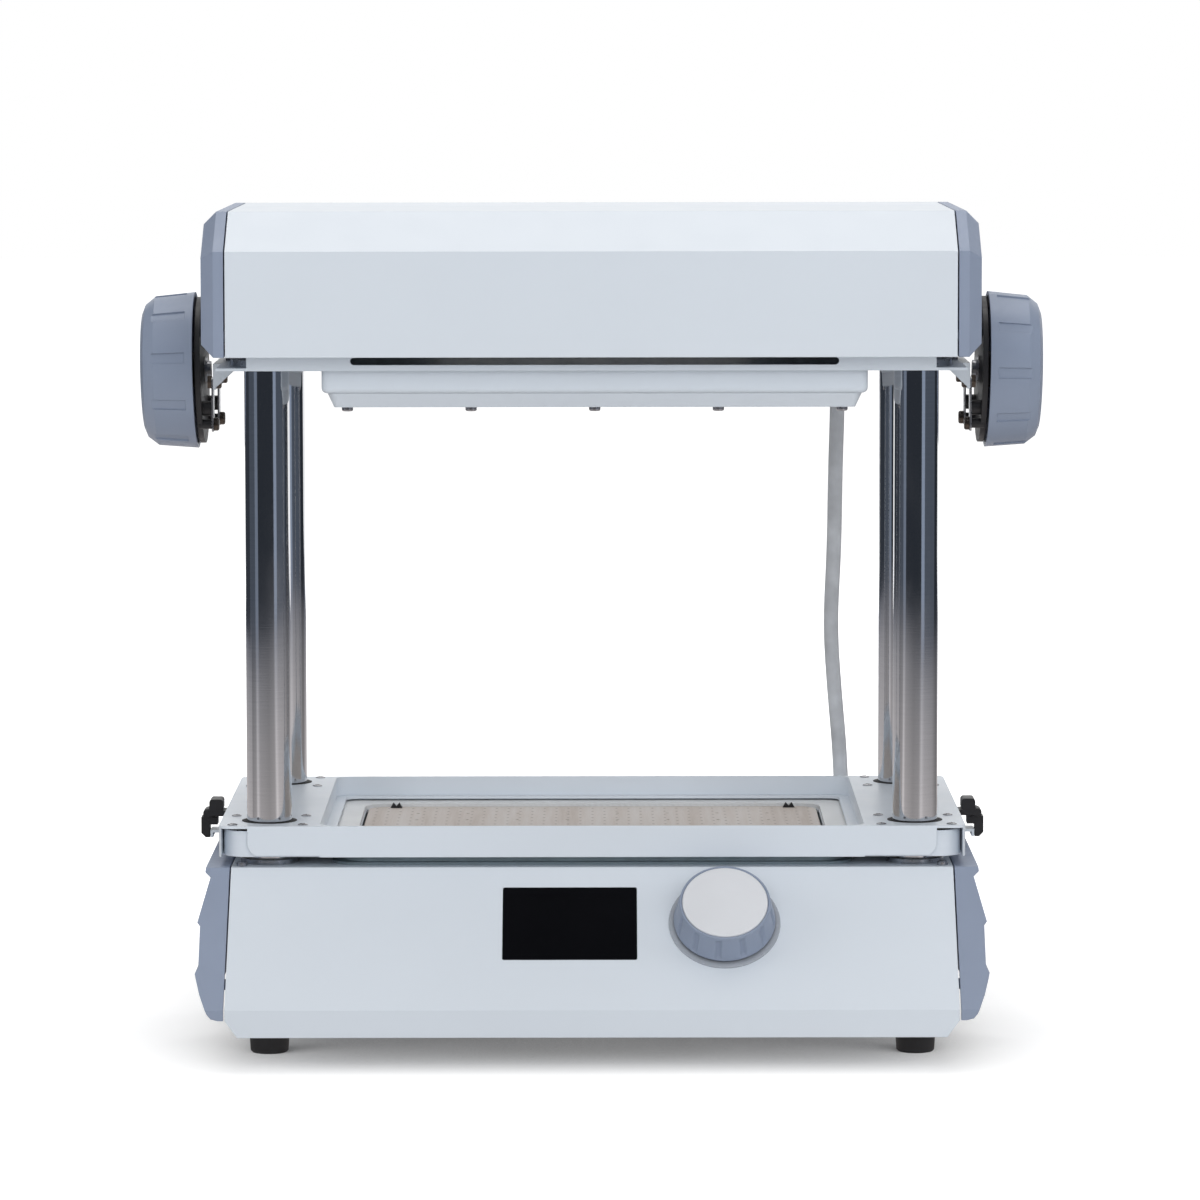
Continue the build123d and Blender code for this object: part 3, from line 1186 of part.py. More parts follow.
HOLDER_W = 12.0
HOLDER_L = 10.0
HOLDER_DEEP = 4.0
with BuildPart() as tube_holders:
    for s in SIDES.values():
        with BuildSketch(Plane.YZ.offset(HEATER_X + s * (TUBE_L / 2 - HOLDER_DEEP))):
            with Locations(*[(y, REFLECTOR_TOP - REFLECTOR_T - HOLDER_W / 2) for y in TUBE_ROWS]):
                Rectangle(HOLDER_W, HOLDER_W)
        extrude(amount=s * HOLDER_L)
    with BuildSketch(Plane.YZ.offset(HEATER_X - TUBE_L / 2)):
        with Locations(*[(y, TUBE_Z) for y in TUBE_ROWS]):
            Circle(TUBE_D / 2)
    extrude(amount=TUBE_L, mode=Mode.SUBTRACT)
keep(tube_holders, "tube_holders")

# ---------------------------------------------------------------- side knobs under the head's ends
LEG_OUT = SIDE_KNOB_SEAT - 1.0
BRACKET_D = 68.0
BRACKET_DROP = 14.6
BRACKET_IN = 199.0
GUSSET_LIP = 1.0
STRAP_T = SIDE_KNOB_SEAT - LEG_OUT
STRAP_W = 12.0
STRAP_TOP = 372.0
STRAP_BOTTOM = 341.5
STRAP_SCREW_Z = 369.4
STRAP_SCREW_D = 4.0
LOW_SCREW_Z = 345.6
LOW_SCREW_D = 3.0
STRAP_ROWS = [POST_Y - STRAP_PITCH / 2, POST_Y + STRAP_PITCH / 2]
SPACER_Z = 354.5
SPACER_D = 8.4
PILLAR_D = 5.4
NUB_D = 4.2
NUB_H = 3.2
NUB_X = 25.0
NUB_Z = 22.0
BOSS_D = 20.0
BOSS_END = 22.0
THRUST_GAP = 0.4
HUB_FLANGE_D = 40.0
HUB_FLANGE_T = 3.0
CLIP_RING_D = 15.0
CLIP_RING_T = 1.2
AXLE_START = 2.0
SHOULDER = 7.7  # the bevel starts this far short of the knob's outer end
BEVEL_IN = 4.6
CROWN = 1.8
CROWN_W = 4.5
DISH_W = 2.5
DISH_DEPTH = 0.8
SIDE_FLUTE_ARC = 8.0
SIDE_FLUTE_DEPTH = 0.8
SIDE_FLUTE_START = 4.5  # behind the rim
SIDE_PLANES = {
    side: Plane(
        origin=(s * SIDE_KNOB_SEAT, POST_Y, SIDE_KNOB_Z),
        x_dir=(0, s, 0),
        z_dir=(s * cos(radians(SIDE_KNOB_LEAN)), 0, -sin(radians(SIDE_KNOB_LEAN))),
    )
    for side, s in SIDES.items()
}
KNOB_END = SIDE_KNOB_START + SIDE_KNOB_W
KNOB_BOSS_START = BOSS_END + THRUST_GAP + HUB_FLANGE_T
KNOB_FLOOR = KNOB_END - DISH_DEPTH - SIDE_KNOB_WALL
SKIRT_L = SIDE_KNOB_W - SHOULDER


def skirt_radius(reach):
    """Radius of a side knob's tapered skirt, at a distance outboard of its rim."""
    return SIDE_KNOB_D / 2 - reach * tan(radians(SIDE_KNOB_TAPER))


FACE_R = skirt_radius(SKIRT_L) - BEVEL_IN
DISH_R = FACE_R - CROWN_W - DISH_W

for side, s in SIDES.items():
    seat = SIDE_PLANES[side]
    spin = Axis(seat.origin, seat.z_dir)

    with BuildPart() as knob_bracket:
        with BuildSketch(Plane.XZ.offset(-POST_Y)):
            with BuildLine():
                Polyline(
                    (s * BRACKET_IN, CHASSIS_Z),
                    (s * LEG_OUT, CHASSIS_Z),
                    (s * LEG_OUT, CHASSIS_Z - BRACKET_DROP),
                    (s * (LEG_OUT - SHEET), CHASSIS_Z - BRACKET_DROP),
                    (s * (LEG_OUT - SHEET), CHASSIS_Z - SHEET),
                    (s * BRACKET_IN, CHASSIS_Z - SHEET),
                    close=True,
                )
            make_face()
        extrude(amount=BRACKET_D / 2, both=True)
        for y in (-1, 1):
            with BuildSketch(Plane.XZ.offset(-POST_Y + y * BRACKET_D / 2)):
                with BuildLine():
                    Polyline(
                        (s * (BRACKET_IN + GUSSET_LIP), CHASSIS_Z - SHEET / 2),
                        (s * (LEG_OUT - SHEET / 2), CHASSIS_Z - SHEET / 2),
                        (s * (LEG_OUT - SHEET / 2), CHASSIS_Z - BRACKET_DROP + GUSSET_LIP),
                        (s * (LEG_OUT - SHEET), CHASSIS_Z - BRACKET_DROP + GUSSET_LIP),
                        (s * (BRACKET_IN + GUSSET_LIP), CHASSIS_Z - SHEET - GUSSET_LIP),
                        close=True,
                    )
                make_face()
            extrude(amount=-y * SHEET)
        with BuildSketch(Plane.XY.offset(CHASSIS_Z - SHEET)):
            with Locations(*BRACKET_PLACES):
                Circle(BRACKET_SCREW_D / 2)
        extrude(amount=SHEET, mode=Mode.SUBTRACT)
        with BuildSketch(Plane.YZ.offset(s * LEG_OUT)):
            with Locations(*[(y, STRAP_SCREW_Z) for y in STRAP_ROWS]):
                Circle(STRAP_SCREW_D / 2)
        extrude(amount=-s * SHEET, mode=Mode.SUBTRACT)
    keep(knob_bracket, f"knob_bracket_{side}")

    with BuildPart() as knob_straps:
        with BuildSketch(Plane.YZ.offset(s * LEG_OUT)):
            with Locations(*[(y, (STRAP_TOP + STRAP_BOTTOM) / 2) for y in STRAP_ROWS]):
                RectangleRounded(STRAP_W, STRAP_TOP - STRAP_BOTTOM, 2)
            with Locations(*[(y, STRAP_SCREW_Z) for y in STRAP_ROWS]):
                Circle(STRAP_SCREW_D / 2, mode=Mode.SUBTRACT)
            with Locations(*[(y, LOW_SCREW_Z) for y in STRAP_ROWS]):
                Circle(LOW_SCREW_D / 2, mode=Mode.SUBTRACT)
        extrude(amount=s * STRAP_T)
    keep(knob_straps, f"knob_straps_{side}")

    with BuildPart() as knob_back_plate:
        with BuildSketch(seat.offset(BACK_PLATE_START)):
            Circle(BACK_PLATE_D / 2)
        extrude(amount=BACK_PLATE_T)
        with BuildSketch(seat.offset(BACK_PLATE_START)):
            Circle(BOSS_D / 2)
        extrude(amount=BOSS_END - BACK_PLATE_START)
        with BuildSketch(seat.offset(BACK_PLATE_START)):
            with Locations((-NUB_X, NUB_Z), (NUB_X, NUB_Z)):
                Circle(NUB_D / 2)
        extrude(amount=-NUB_H)
        with BuildSketch(Plane.YZ.offset(s * SIDE_KNOB_SEAT)):
            with Locations(*[(y, SPACER_Z) for y in STRAP_ROWS]):
                Circle(SPACER_D / 2)
            with Locations(*[(y, LOW_SCREW_Z) for y in STRAP_ROWS]):
                Circle(PILLAR_D / 2)
        extrude(amount=s * (BACK_PLATE_START + BACK_PLATE_T / 2))
        with BuildSketch(Plane.YZ.offset(s * SIDE_KNOB_SEAT)):
            with Locations(*[(y, LOW_SCREW_Z) for y in STRAP_ROWS]):
                Circle(LOW_SCREW_D / 2)
        extrude(amount=s * BACK_PLATE_START, mode=Mode.SUBTRACT)
        with BuildSketch(seat):
            Circle(AXLE_D / 2 + RUN_GAP)
        extrude(amount=SIDE_KNOB_W, mode=Mode.SUBTRACT)
    keep(knob_back_plate, f"knob_back_plate_{side}")

    with BuildPart() as side_knob:
        with BuildSketch(section(seat)):
            with BuildLine():
                Polyline(
                    (0, KNOB_END - DISH_DEPTH),
                    (DISH_R, KNOB_END - DISH_DEPTH),
                    (DISH_R, KNOB_END),
                    (FACE_R - CROWN_W, KNOB_END),
                    (FACE_R, KNOB_END - CROWN),
                    (skirt_radius(SKIRT_L), SIDE_KNOB_START + SKIRT_L),
                    (SIDE_KNOB_D / 2, SIDE_KNOB_START),
                    (SIDE_KNOB_D / 2 - SIDE_KNOB_WALL, SIDE_KNOB_START),
                    (skirt_radius(SKIRT_L) - SIDE_KNOB_WALL, SIDE_KNOB_START + SKIRT_L),
                    (FACE_R - SIDE_KNOB_WALL, KNOB_FLOOR),
                    (BOSS_D / 2, KNOB_FLOOR),
                    (BOSS_D / 2, KNOB_BOSS_START),
                    (AXLE_D / 2 + RUN_GAP, KNOB_BOSS_START),
                    (AXLE_D / 2 + RUN_GAP, KNOB_FLOOR),
                    (0, KNOB_FLOOR),
                    close=True,
                )
            make_face()
        revolve(axis=spin)
        for k in range(SIDE_KNOB_FLUTES):
            turn = SIDE_KNOB_TURNS[side] + 360 / SIDE_KNOB_FLUTES * k - SIDE_FLUTE_ARC / 2
            with BuildSketch(section(seat, turn)):
                with BuildLine():
                    Polyline(
                        (skirt_radius(SIDE_FLUTE_START) - SIDE_FLUTE_DEPTH, SIDE_KNOB_START + SIDE_FLUTE_START),
                        (SIDE_KNOB_D / 2 + 1, SIDE_KNOB_START + SIDE_FLUTE_START),
                        (SIDE_KNOB_D / 2 + 1, SIDE_KNOB_START + SKIRT_L + 2),
                        (skirt_radius(SKIRT_L + 2) - SIDE_FLUTE_DEPTH, SIDE_KNOB_START + SKIRT_L + 2),
                        close=True,
                    )
                make_face()
            revolve(axis=spin, revolution_arc=SIDE_FLUTE_ARC, mode=Mode.SUBTRACT)
    keep(side_knob, f"side_knob_{side}")

    with BuildPart() as knob_hub:
        with BuildSketch(seat.offset(AXLE_START)):
            Circle(AXLE_D / 2)
        extrude(amount=KNOB_FLOOR - AXLE_START)
        with BuildSketch(seat.offset(KNOB_BOSS_START - HUB_FLANGE_T)):
            Circle(HUB_FLANGE_D / 2)
        extrude(amount=HUB_FLANGE_T)
        with BuildSketch(seat.offset(BACK_PLATE_START - THRUST_GAP)):
            Circle(CLIP_RING_D / 2)
        extrude(amount=-CLIP_RING_T)
    keep(knob_hub, f"knob_hub_{side}")

DOME_D = 7.4
DOME_H = 3.0
DOME_ROUND = 1.2
NUT_W = 7.0
NUT_H = 2.4
with BuildPart() as strap_screws:
    for s in SIDES.values():
        with BuildSketch(Plane.YZ.offset(s * (LEG_OUT - SHEET))):
            with Locations(*[(y, STRAP_SCREW_Z) for y in STRAP_ROWS]):
                Circle(DOME_D / 2)
        extrude(amount=-s * DOME_H)
        with BuildSketch(Plane.YZ.offset(s * LEG_OUT)):
            with Locations(*[(y, LOW_SCREW_Z) for y in STRAP_ROWS]):
                Circle(DOME_D / 2)
        extrude(amount=-s * DOME_H)
    tops = [LEG_OUT - SHEET - DOME_H, LEG_OUT - DOME_H]
    rims = strap_screws.edges().filter_by(GeomType.CIRCLE)
    fillet(rims.filter_by(lambda e: min(abs(abs(e.center().X) - top) for top in tops) < 0.1), DOME_ROUND)
    for s in SIDES.values():
        with BuildSketch(Plane.YZ.offset(s * (LEG_OUT - SHEET))):
            with Locations(*[(y, STRAP_SCREW_Z) for y in STRAP_ROWS]):
                Circle(STRAP_SCREW_D / 2)
        extrude(amount=s * (SHEET + STRAP_T + NUT_H))
        with BuildSketch(Plane.YZ.offset(s * SIDE_KNOB_SEAT)):
            with Locations(*[(y, STRAP_SCREW_Z) for y in STRAP_ROWS]):
                RegularPolygon(NUT_W / 2, 6, major_radius=False)
        extrude(amount=s * NUT_H)
        with BuildSketch(Plane.YZ.offset(s * LEG_OUT)):
            with Locations(*[(y, LOW_SCREW_Z) for y in STRAP_ROWS]):
                Circle(LOW_SCREW_D / 2)
        extrude(amount=s * (STRAP_T + BACK_PLATE_START))
keep(strap_screws, "strap_screws")

with BuildPart() as head_screws:
    with BuildSketch(Plane.XY.offset(CHASSIS_Z - SHEET)):
        with Locations(*BRACKET_PLACES):
            Circle(PAN_HEAD_D / 2)
    extrude(amount=-PAN_HEAD_H)
    with BuildSketch(Plane.XY.offset(RIM_BOTTOM)):
        with Locations(*SCREW_ROW):
            Circle(PAN_HEAD_D / 2)
    extrude(amount=-PAN_HEAD_H)
    for seat in (RIM_BOTTOM, CHASSIS_Z - SHEET):
        low = seat - PAN_HEAD_H
        fillet(head_screws.edges().filter_by_position(Axis.Z, low - 0.1, low + 0.1), 1)
    with BuildSketch(Plane.XY.offset(CHASSIS_Z - SHEET)):
        with Locations(*BRACKET_PLACES):
            Circle(BRACKET_SCREW_D / 2)
    extrude(amount=SHEET + CHASSIS_T + 2)
keep(head_screws, "head_screws")

# ---------------------------------------------------------------- cable at the back, boot to boot
GLAND_W = 16.0
GLAND_H = 20.0
GLAND_R = 4.0
GLAND_SEATS = [
    (CABLE_X, HEAD_BACK, TOP_GLAND_Z, CABLE_TOP + GLAND_H / 2),
    (CABLE_LOW_X, BASE_BACK, BASE_GLAND_Z, CABLE_BOTTOM - GLAND_H / 2),
]
with BuildPart() as cable_glands:
    for x, wall, spigot, middle in GLAND_SEATS:
        reach = CABLE_Y + GLAND_W / 2 - wall
        with BuildSketch(Plane.XY.offset(middle - GLAND_H / 2)):
            with Locations((x, wall + reach / 2)):
                Rectangle(GLAND_W, reach)
        extrude(amount=GLAND_H)
    outer = cable_glands.edges().filter_by(Axis.Z).filter_by(lambda e: e.center().Y > CABLE_Y)
    fillet(outer, GLAND_R)
    for x, wall, spigot, middle in GLAND_SEATS:
        with BuildSketch(Plane.XZ.offset(-wall)):
            with Locations((x, spigot)):
                Circle(GLAND_HOLE_D / 2)
        extrude(amount=3 * SHEET)
keep(cable_glands, "cable_glands")

CABLE_POINTS = [
    (CABLE_X, CABLE_Y, CABLE_TOP),
    (CABLE_X, CABLE_Y, CABLE_TOP - 36),
    (143.8, 165.0, 306.0),
    (143.5, 169.0, 262.0),
    (141.2, 171.0, 216.0),
    (143.6, 169.0, 178.0),
    (146.8, 165.0, 142.0),
    (CABLE_LOW_X, CABLE_Y, CABLE_BOTTOM + 30),
    (CABLE_LOW_X, CABLE_Y, CABLE_BOTTOM),
]


def bend_radii(points):
    """The gentlest bend at each inner point of a run of cable."""
    radii = []
    for a, b, c in zip(points, points[1:], points[2:]):
        before, after = Vector(*b) - Vector(*a), Vector(*c) - Vector(*b)
        turn = radians(before.get_angle(after))
        radii.append(0.45 * min(before.length, after.length) / tan(turn / 2))
    return radii


CABLE_RADII = bend_radii(CABLE_POINTS)
print("cable bend radii:", [round(r) for r in CABLE_RADII])
with BuildPart() as heater_cable:
    with BuildLine() as cable_line:
        FilletPolyline(*CABLE_POINTS, radius=CABLE_RADII)
    with BuildSketch(Plane(origin=CABLE_POINTS[0], z_dir=(0, 0, -1))):
        Circle(CABLE_D / 2)
    sweep(path=cable_line.wire())
keep(heater_cable, "heater_cable")
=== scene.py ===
"""Desktop vacuum forming machine: finishes, fine pieces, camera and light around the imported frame."""
import json
from math import cos, pi, radians, sin

import bpy
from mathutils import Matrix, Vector


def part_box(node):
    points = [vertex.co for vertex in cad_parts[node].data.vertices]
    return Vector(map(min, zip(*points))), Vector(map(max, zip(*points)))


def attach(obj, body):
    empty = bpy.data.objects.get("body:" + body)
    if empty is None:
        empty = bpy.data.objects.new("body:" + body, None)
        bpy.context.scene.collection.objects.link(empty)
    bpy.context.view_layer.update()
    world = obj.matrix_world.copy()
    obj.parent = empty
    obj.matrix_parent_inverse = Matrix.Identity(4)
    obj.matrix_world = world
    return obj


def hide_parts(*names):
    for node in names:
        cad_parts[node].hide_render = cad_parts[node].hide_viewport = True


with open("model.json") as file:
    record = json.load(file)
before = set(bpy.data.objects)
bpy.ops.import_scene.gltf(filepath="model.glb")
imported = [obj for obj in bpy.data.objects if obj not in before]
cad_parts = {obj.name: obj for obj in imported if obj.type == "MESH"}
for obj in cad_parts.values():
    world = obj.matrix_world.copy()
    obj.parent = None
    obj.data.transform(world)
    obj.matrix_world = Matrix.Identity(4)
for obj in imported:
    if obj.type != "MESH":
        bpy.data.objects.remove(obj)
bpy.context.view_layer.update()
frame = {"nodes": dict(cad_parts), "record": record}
nodes = frame["nodes"]


# ---------------------------------------------------------------- camera and cable come first
CAMERA_PLACE = (0.0050, -3.377, 0.5623)
CAMERA_PITCH = 5.35  # degrees below the horizon
CAMERA_ROLL = 0.08  # degrees
CAMERA_LENS = 180  # millimetres
CAMERA_FAR = 50  # metres


def place_camera():
    """The photograph's viewing angle: far away, a little above the head's top."""
    data = bpy.data.cameras.new("camera")
    data.lens = CAMERA_LENS
    data.clip_end = CAMERA_FAR
    camera = bpy.data.objects.new("camera", data)
    camera.location = CAMERA_PLACE
    camera.rotation_mode = "XYZ"
    camera.rotation_euler = (radians(90 - CAMERA_PITCH), radians(CAMERA_ROLL), 0)
    bpy.context.scene.collection.objects.link(camera)
    bpy.context.scene.camera = camera


place_camera()

# The cable's route from the head's gland to the base's gland, as it is in the source.
CABLE_ROUTE = [
    (0.1450, 0.162, 0.384),
    (0.1450, 0.162, 0.348),
    (0.1438, 0.165, 0.306),
    (0.1435, 0.169, 0.262),
    (0.1412, 0.171, 0.216),
    (0.1436, 0.169, 0.178),
    (0.1468, 0.165, 0.142),
    (0.1480, 0.162, 0.108),
    (0.1480, 0.162, 0.078),
]
CABLE_D = 0.0087


def lay_cable():
    """The heater's grey cable, on its own smooth line behind the frame."""
    curve = bpy.data.curves.new("heater_cable_jacket", "CURVE")
    curve.dimensions = "3D"
    curve.bevel_depth = 1.0  # times each point's radius
    curve.bevel_resolution = 6
    curve.resolution_u = 16
    spline = curve.splines.new("NURBS")
    spline.points.add(len(CABLE_ROUTE) - 1)
    for point, place in zip(spline.points, CABLE_ROUTE):
        point.co = (*place, 1)
        point.radius = CABLE_D / 2
    spline.order_u = 3
    spline.use_endpoint_u = True
    cable = bpy.data.objects.new("heater_cable_jacket", curve)
    bpy.context.scene.collection.objects.link(cable)
    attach(cable, "stand")
    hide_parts("heater_cable")
    return cable


jacket = lay_cable()


# ---------------------------------------------------------------- building blocks of the finishes
def finish(name, colour, roughness, metallic=0.0):
    """A new node material and its shader."""
    material = bpy.data.materials.new(name)
    material.use_nodes = True
    shader = material.node_tree.nodes["Principled BSDF"]
    shader.inputs["Base Color"].default_value = (*colour, 1)
    shader.inputs["Roughness"].default_value = roughness
    shader.inputs["Metallic"].default_value = metallic
    return material, shader


def add_node(material, kind, **values):
    """A node with its input values set by name."""
    made = material.node_tree.nodes.new(kind)
    for name, value in values.items():
        made.inputs[name.replace("_", " ")].default_value = value
    return made


def link(material, source, target):
    material.node_tree.links.new(source, target)


def maths(material, operation, *terms):
    """What a maths node makes of sockets and plain numbers."""
    made = add_node(material, "ShaderNodeMath")
    made.operation = operation
    for k, term in enumerate(terms):
        if isinstance(term, float):
            made.inputs[k].default_value = term
        else:
            link(material, term, made.inputs[k])
    return made.outputs[0]


# The sockets of a colour Mix node: its factor, its two colours and its result.
MIX_FACTOR, MIX_A, MIX_B, MIX_OUT = 0, 6, 7, 2


def mix_colours(material, blend="MIX"):
    """A Mix node for colours, with the sockets above."""
    made = add_node(material, "ShaderNodeMix")
    made.data_type = "RGBA"
    made.blend_type = blend
    return made


def row_place(material):
    """The place of a point in the row frame."""
    return add_node(material, "ShaderNodeTexCoord").outputs["Object"]


def away_from_origin(material, place):
    """How far a place is from the origin."""
    made = add_node(material, "ShaderNodeVectorMath")
    made.operation = "LENGTH"
    link(material, place, made.inputs[0])
    return made.outputs["Value"]


def grain(material, scale, stretch=(1, 1, 1), detail=2.0, rough=0.5):
    """Noise in the row frame: about scale cells to a metre, drawn out where stretch is small."""
    spread = add_node(material, "ShaderNodeMapping", Scale=stretch)
    noise = add_node(material, "ShaderNodeTexNoise", Scale=scale, Detail=detail, Roughness=rough)
    link(material, row_place(material), spread.inputs["Vector"])
    link(material, spread.outputs["Vector"], noise.inputs["Vector"])
    return noise.outputs["Fac"]


def ramp(material, value, stops):
    """Colours along a value: stops are (place, colour)."""
    made = material.node_tree.nodes.new("ShaderNodeValToRGB")
    elements = made.color_ramp.elements
    while len(elements) < len(stops):
        elements.new(0.5)
    for element, (place, colour) in zip(elements, stops):
        element.position = place
        element.color = (*colour, 1)
    link(material, value, made.inputs["Fac"])
    return made.outputs["Color"]


def rescale(material, value, start, end, low=0.0, high=1.0):
    """A value taken from the range start..end to the range low..high."""
    made = add_node(
        material, "ShaderNodeMapRange", From_Min=start, From_Max=end, To_Min=low, To_Max=high
    )
    link(material, value, made.inputs["Value"])
    return made.outputs["Result"]


NOISE_LOW, NOISE_HIGH = 0.3, 0.7  # nearly all of a noise lies between these


def span(material, value, low, high):
    """A noise value drawn out to the range low..high."""
    return rescale(material, value, NOISE_LOW, NOISE_HIGH, low, high)


def bump(material, shader, height, depth, edge=0.0):
    """Relief of that depth in metres, and edges softened to that radius."""
    relief = add_node(material, "ShaderNodeBump", Strength=1.0, Distance=depth)
    link(material, height, relief.inputs["Height"])
    if edge:
        soft = add_node(material, "ShaderNodeBevel", Radius=edge)
        soft.samples = 4
        link(material, soft.outputs["Normal"], relief.inputs["Normal"])
    link(material, relief.outputs["Normal"], shader.inputs["Normal"])


def shade(colour, factor):
    """The colour, darker or lighter."""
    return tuple(c * factor for c in colour)


def wear(material, shader, colour, scale, change, stretch=(1, 1, 1)):
    """Slow drift of the colour over the surface."""
    tone = ramp(
        material,
        grain(material, scale, stretch, 4.0),
        [(NOISE_LOW, shade(colour, 1 - change)), (NOISE_HIGH, shade(colour, 1 + change))],
    )
    link(material, tone, shader.inputs["Base Color"])


# ---------------------------------------------------------------- finishes
WHITE = (0.72, 0.775, 0.84)
GREY_BLUE = (0.280, 0.330, 0.440)
KNOB_GREY = (0.275, 0.325, 0.43)
STEEL_DARK, STEEL_LIGHT = (0.60, 0.61, 0.63), (0.65, 0.66, 0.68)
GLASS_BLACK = (0.004, 0.004, 0.005)
QUARTZ_WHITE = (0.85, 0.84, 0.82)
# The seal's slate rubber, made lighter to stand in for light that doesn't reach it in its gap: partly
# painted light.
SEAL_SLATE_AND_PAINTED_LIGHT = (0.30, 0.37, 0.41)
TRAY_SLATE = (0.19, 0.24, 0.27)


def powder_coat(name, colour):
    """Satin powder coat: fine orange peel, softened folds."""
    material, shader = finish(name, colour, 0.36)
    wear(material, shader, colour, 7, 0.012)
    link(material, span(material, grain(material, 60), 0.32, 0.42), shader.inputs["Roughness"])
    bump(material, shader, grain(material, 1100, detail=1.0), 0.000015, edge=0.0006)
    return material


def moulded(name, colour, roughness=0.45, edge=0.0006, texture=2600, depth=0.00003):
    """Moulded plastic with a fine spark texture."""
    material, shader = finish(name, colour, roughness)
    wear(material, shader, colour, 25, 0.03)
    spread = span(material, grain(material, 220), roughness - 0.05, roughness + 0.07)
    link(material, spread, shader.inputs["Roughness"])
    bump(material, shader, grain(material, texture, detail=3.0), depth, edge=edge)
    return material


def ground_steel(name):
    """Ground and polished posts: rings of fine scratches round the axis."""
    material, shader = finish(name, STEEL_DARK, 0.08, metallic=1.0)
    rings = grain(material, 1500, (0.03, 0.03, 1), 3.0, 0.6)
    patches = grain(material, 60, (1, 1, 0.3), 3.0)
    link(material, span(material, patches, 0.05, 0.11), shader.inputs["Roughness"])
    tone = ramp(material, rings, [(NOISE_LOW, STEEL_DARK), (NOISE_HIGH, STEEL_LIGHT)])
    link(material, tone, shader.inputs["Base Color"])
    bump(material, shader, rings, 0.0000025)
    return material


def plated(name, colour, roughness=0.3, scale=500):
    """Zinc-plated or plain steel."""
    material, shader = finish(name, colour, roughness, metallic=1.0)
    wear(material, shader, colour, 120, 0.08)
    spread = span(material, grain(material, scale), roughness - 0.06, roughness + 0.12)
    link(material, spread, shader.inputs["Roughness"])
    bump(material, shader, grain(material, scale * 2), 0.00001, edge=0.0003)
    return material


def soft_rubber(name, colour):
    """Matt rubber with a pitted skin."""
    material, shader = finish(name, colour, 0.7)
    wear(material, shader, colour, 60, 0.15)
    bump(material, shader, grain(material, 1500, detail=4.0), 0.00004, edge=0.0005)
    return material


def black_glass(name):
    """The display's unlit glass, faintly smeared."""
    material, shader = finish(name, GLASS_BLACK, 0.06)
    link(material, span(material, grain(material, 40), 0.04, 0.09), shader.inputs["Roughness"])
    wear(material, shader, GLASS_BLACK, 15, 0.2)
    return material


MAPLE_TONES = [(0.28, (0.45, 0.38, 0.33)), (0.5, (0.55, 0.49, 0.45)), (0.75, (0.62, 0.585, 0.56))]
FINE_SHARE = 0.45  # of the fine grain in the tone
BROAD_SHARE = 0.6  # of the broad figure in the tone


def maple(name):
    """Pale fine-grained board, its grain running to the back."""
    material, shader = finish(name, (0.48, 0.43, 0.38), 0.55)
    broad = grain(material, 75, (1, 0.03, 1), 2.0)
    fine = grain(material, 420, (1, 0.05, 1), 5.0, 0.65)
    figure = maths(material, "MULTIPLY", broad, BROAD_SHARE)
    mixed = maths(material, "MULTIPLY_ADD", fine, FINE_SHARE, figure)
    pricked(material, shader, ramp(material, mixed, MAPLE_TONES), fine)
    return material


HOLE_PITCH = 0.007
HOLE_R = 0.0007
HOLE_SHADE = (0.16, 0.12, 0.10, 1)


def pricked(material, shader, tone, height):
    """Small air holes in a square pattern over the board's face, drawn only as spots of painted shade;
    the given height makes the relief.
    """
    cell = add_node(material, "ShaderNodeVectorMath")
    cell.operation = "WRAP"
    cell.inputs[1].default_value = (HOLE_PITCH / 2, HOLE_PITCH, 1)
    cell.inputs[2].default_value = (-HOLE_PITCH / 2, -HOLE_PITCH, -1)
    flat = add_node(material, "ShaderNodeVectorMath")
    flat.operation = "MULTIPLY"
    flat.inputs[1].default_value = (1, 1, 0)
    link(material, row_place(material), cell.inputs[0])
    link(material, cell.outputs["Vector"], flat.inputs[0])
    away = away_from_origin(material, flat.outputs["Vector"])
    mixed = mix_colours(material)
    # Painted shade inside each hole.
    mixed.inputs[MIX_A].default_value = HOLE_SHADE
    link(material, rescale(material, away, HOLE_R * 0.8, HOLE_R * 1.3), mixed.inputs[MIX_FACTOR])
    link(material, tone, mixed.inputs[MIX_B])
    link(material, mixed.outputs[MIX_OUT], shader.inputs["Base Color"])
    bump(material, shader, height, 0.00008)


def silicone(name, colour):
    """Pale gasket rubber that light goes into, with fine moulded ribs."""
    material, shader = finish(name, colour, 0.4)
    shader.inputs["Subsurface Weight"].default_value = 0.15
    shader.inputs["Subsurface Radius"].default_value = (0.004, 0.004, 0.004)
    wear(material, shader, colour, 30, 0.04)
    ribs = add_node(material, "ShaderNodeTexWave", Scale=180, Distortion=0.4)
    ribs.bands_direction = "DIAGONAL"
    link(material, row_place(material), ribs.inputs["Vector"])
    bump(material, shader, ribs.outputs["Fac"], 0.00012, edge=0.0005)
    return material


def milky_quartz(name):
    """The heater tubes' clouded quartz."""
    material, shader = finish(name, QUARTZ_WHITE, 0.25)
    shader.inputs["Transmission Weight"].default_value = 0.6
    wear(material, shader, QUARTZ_WHITE, 50, 0.05)
    return material


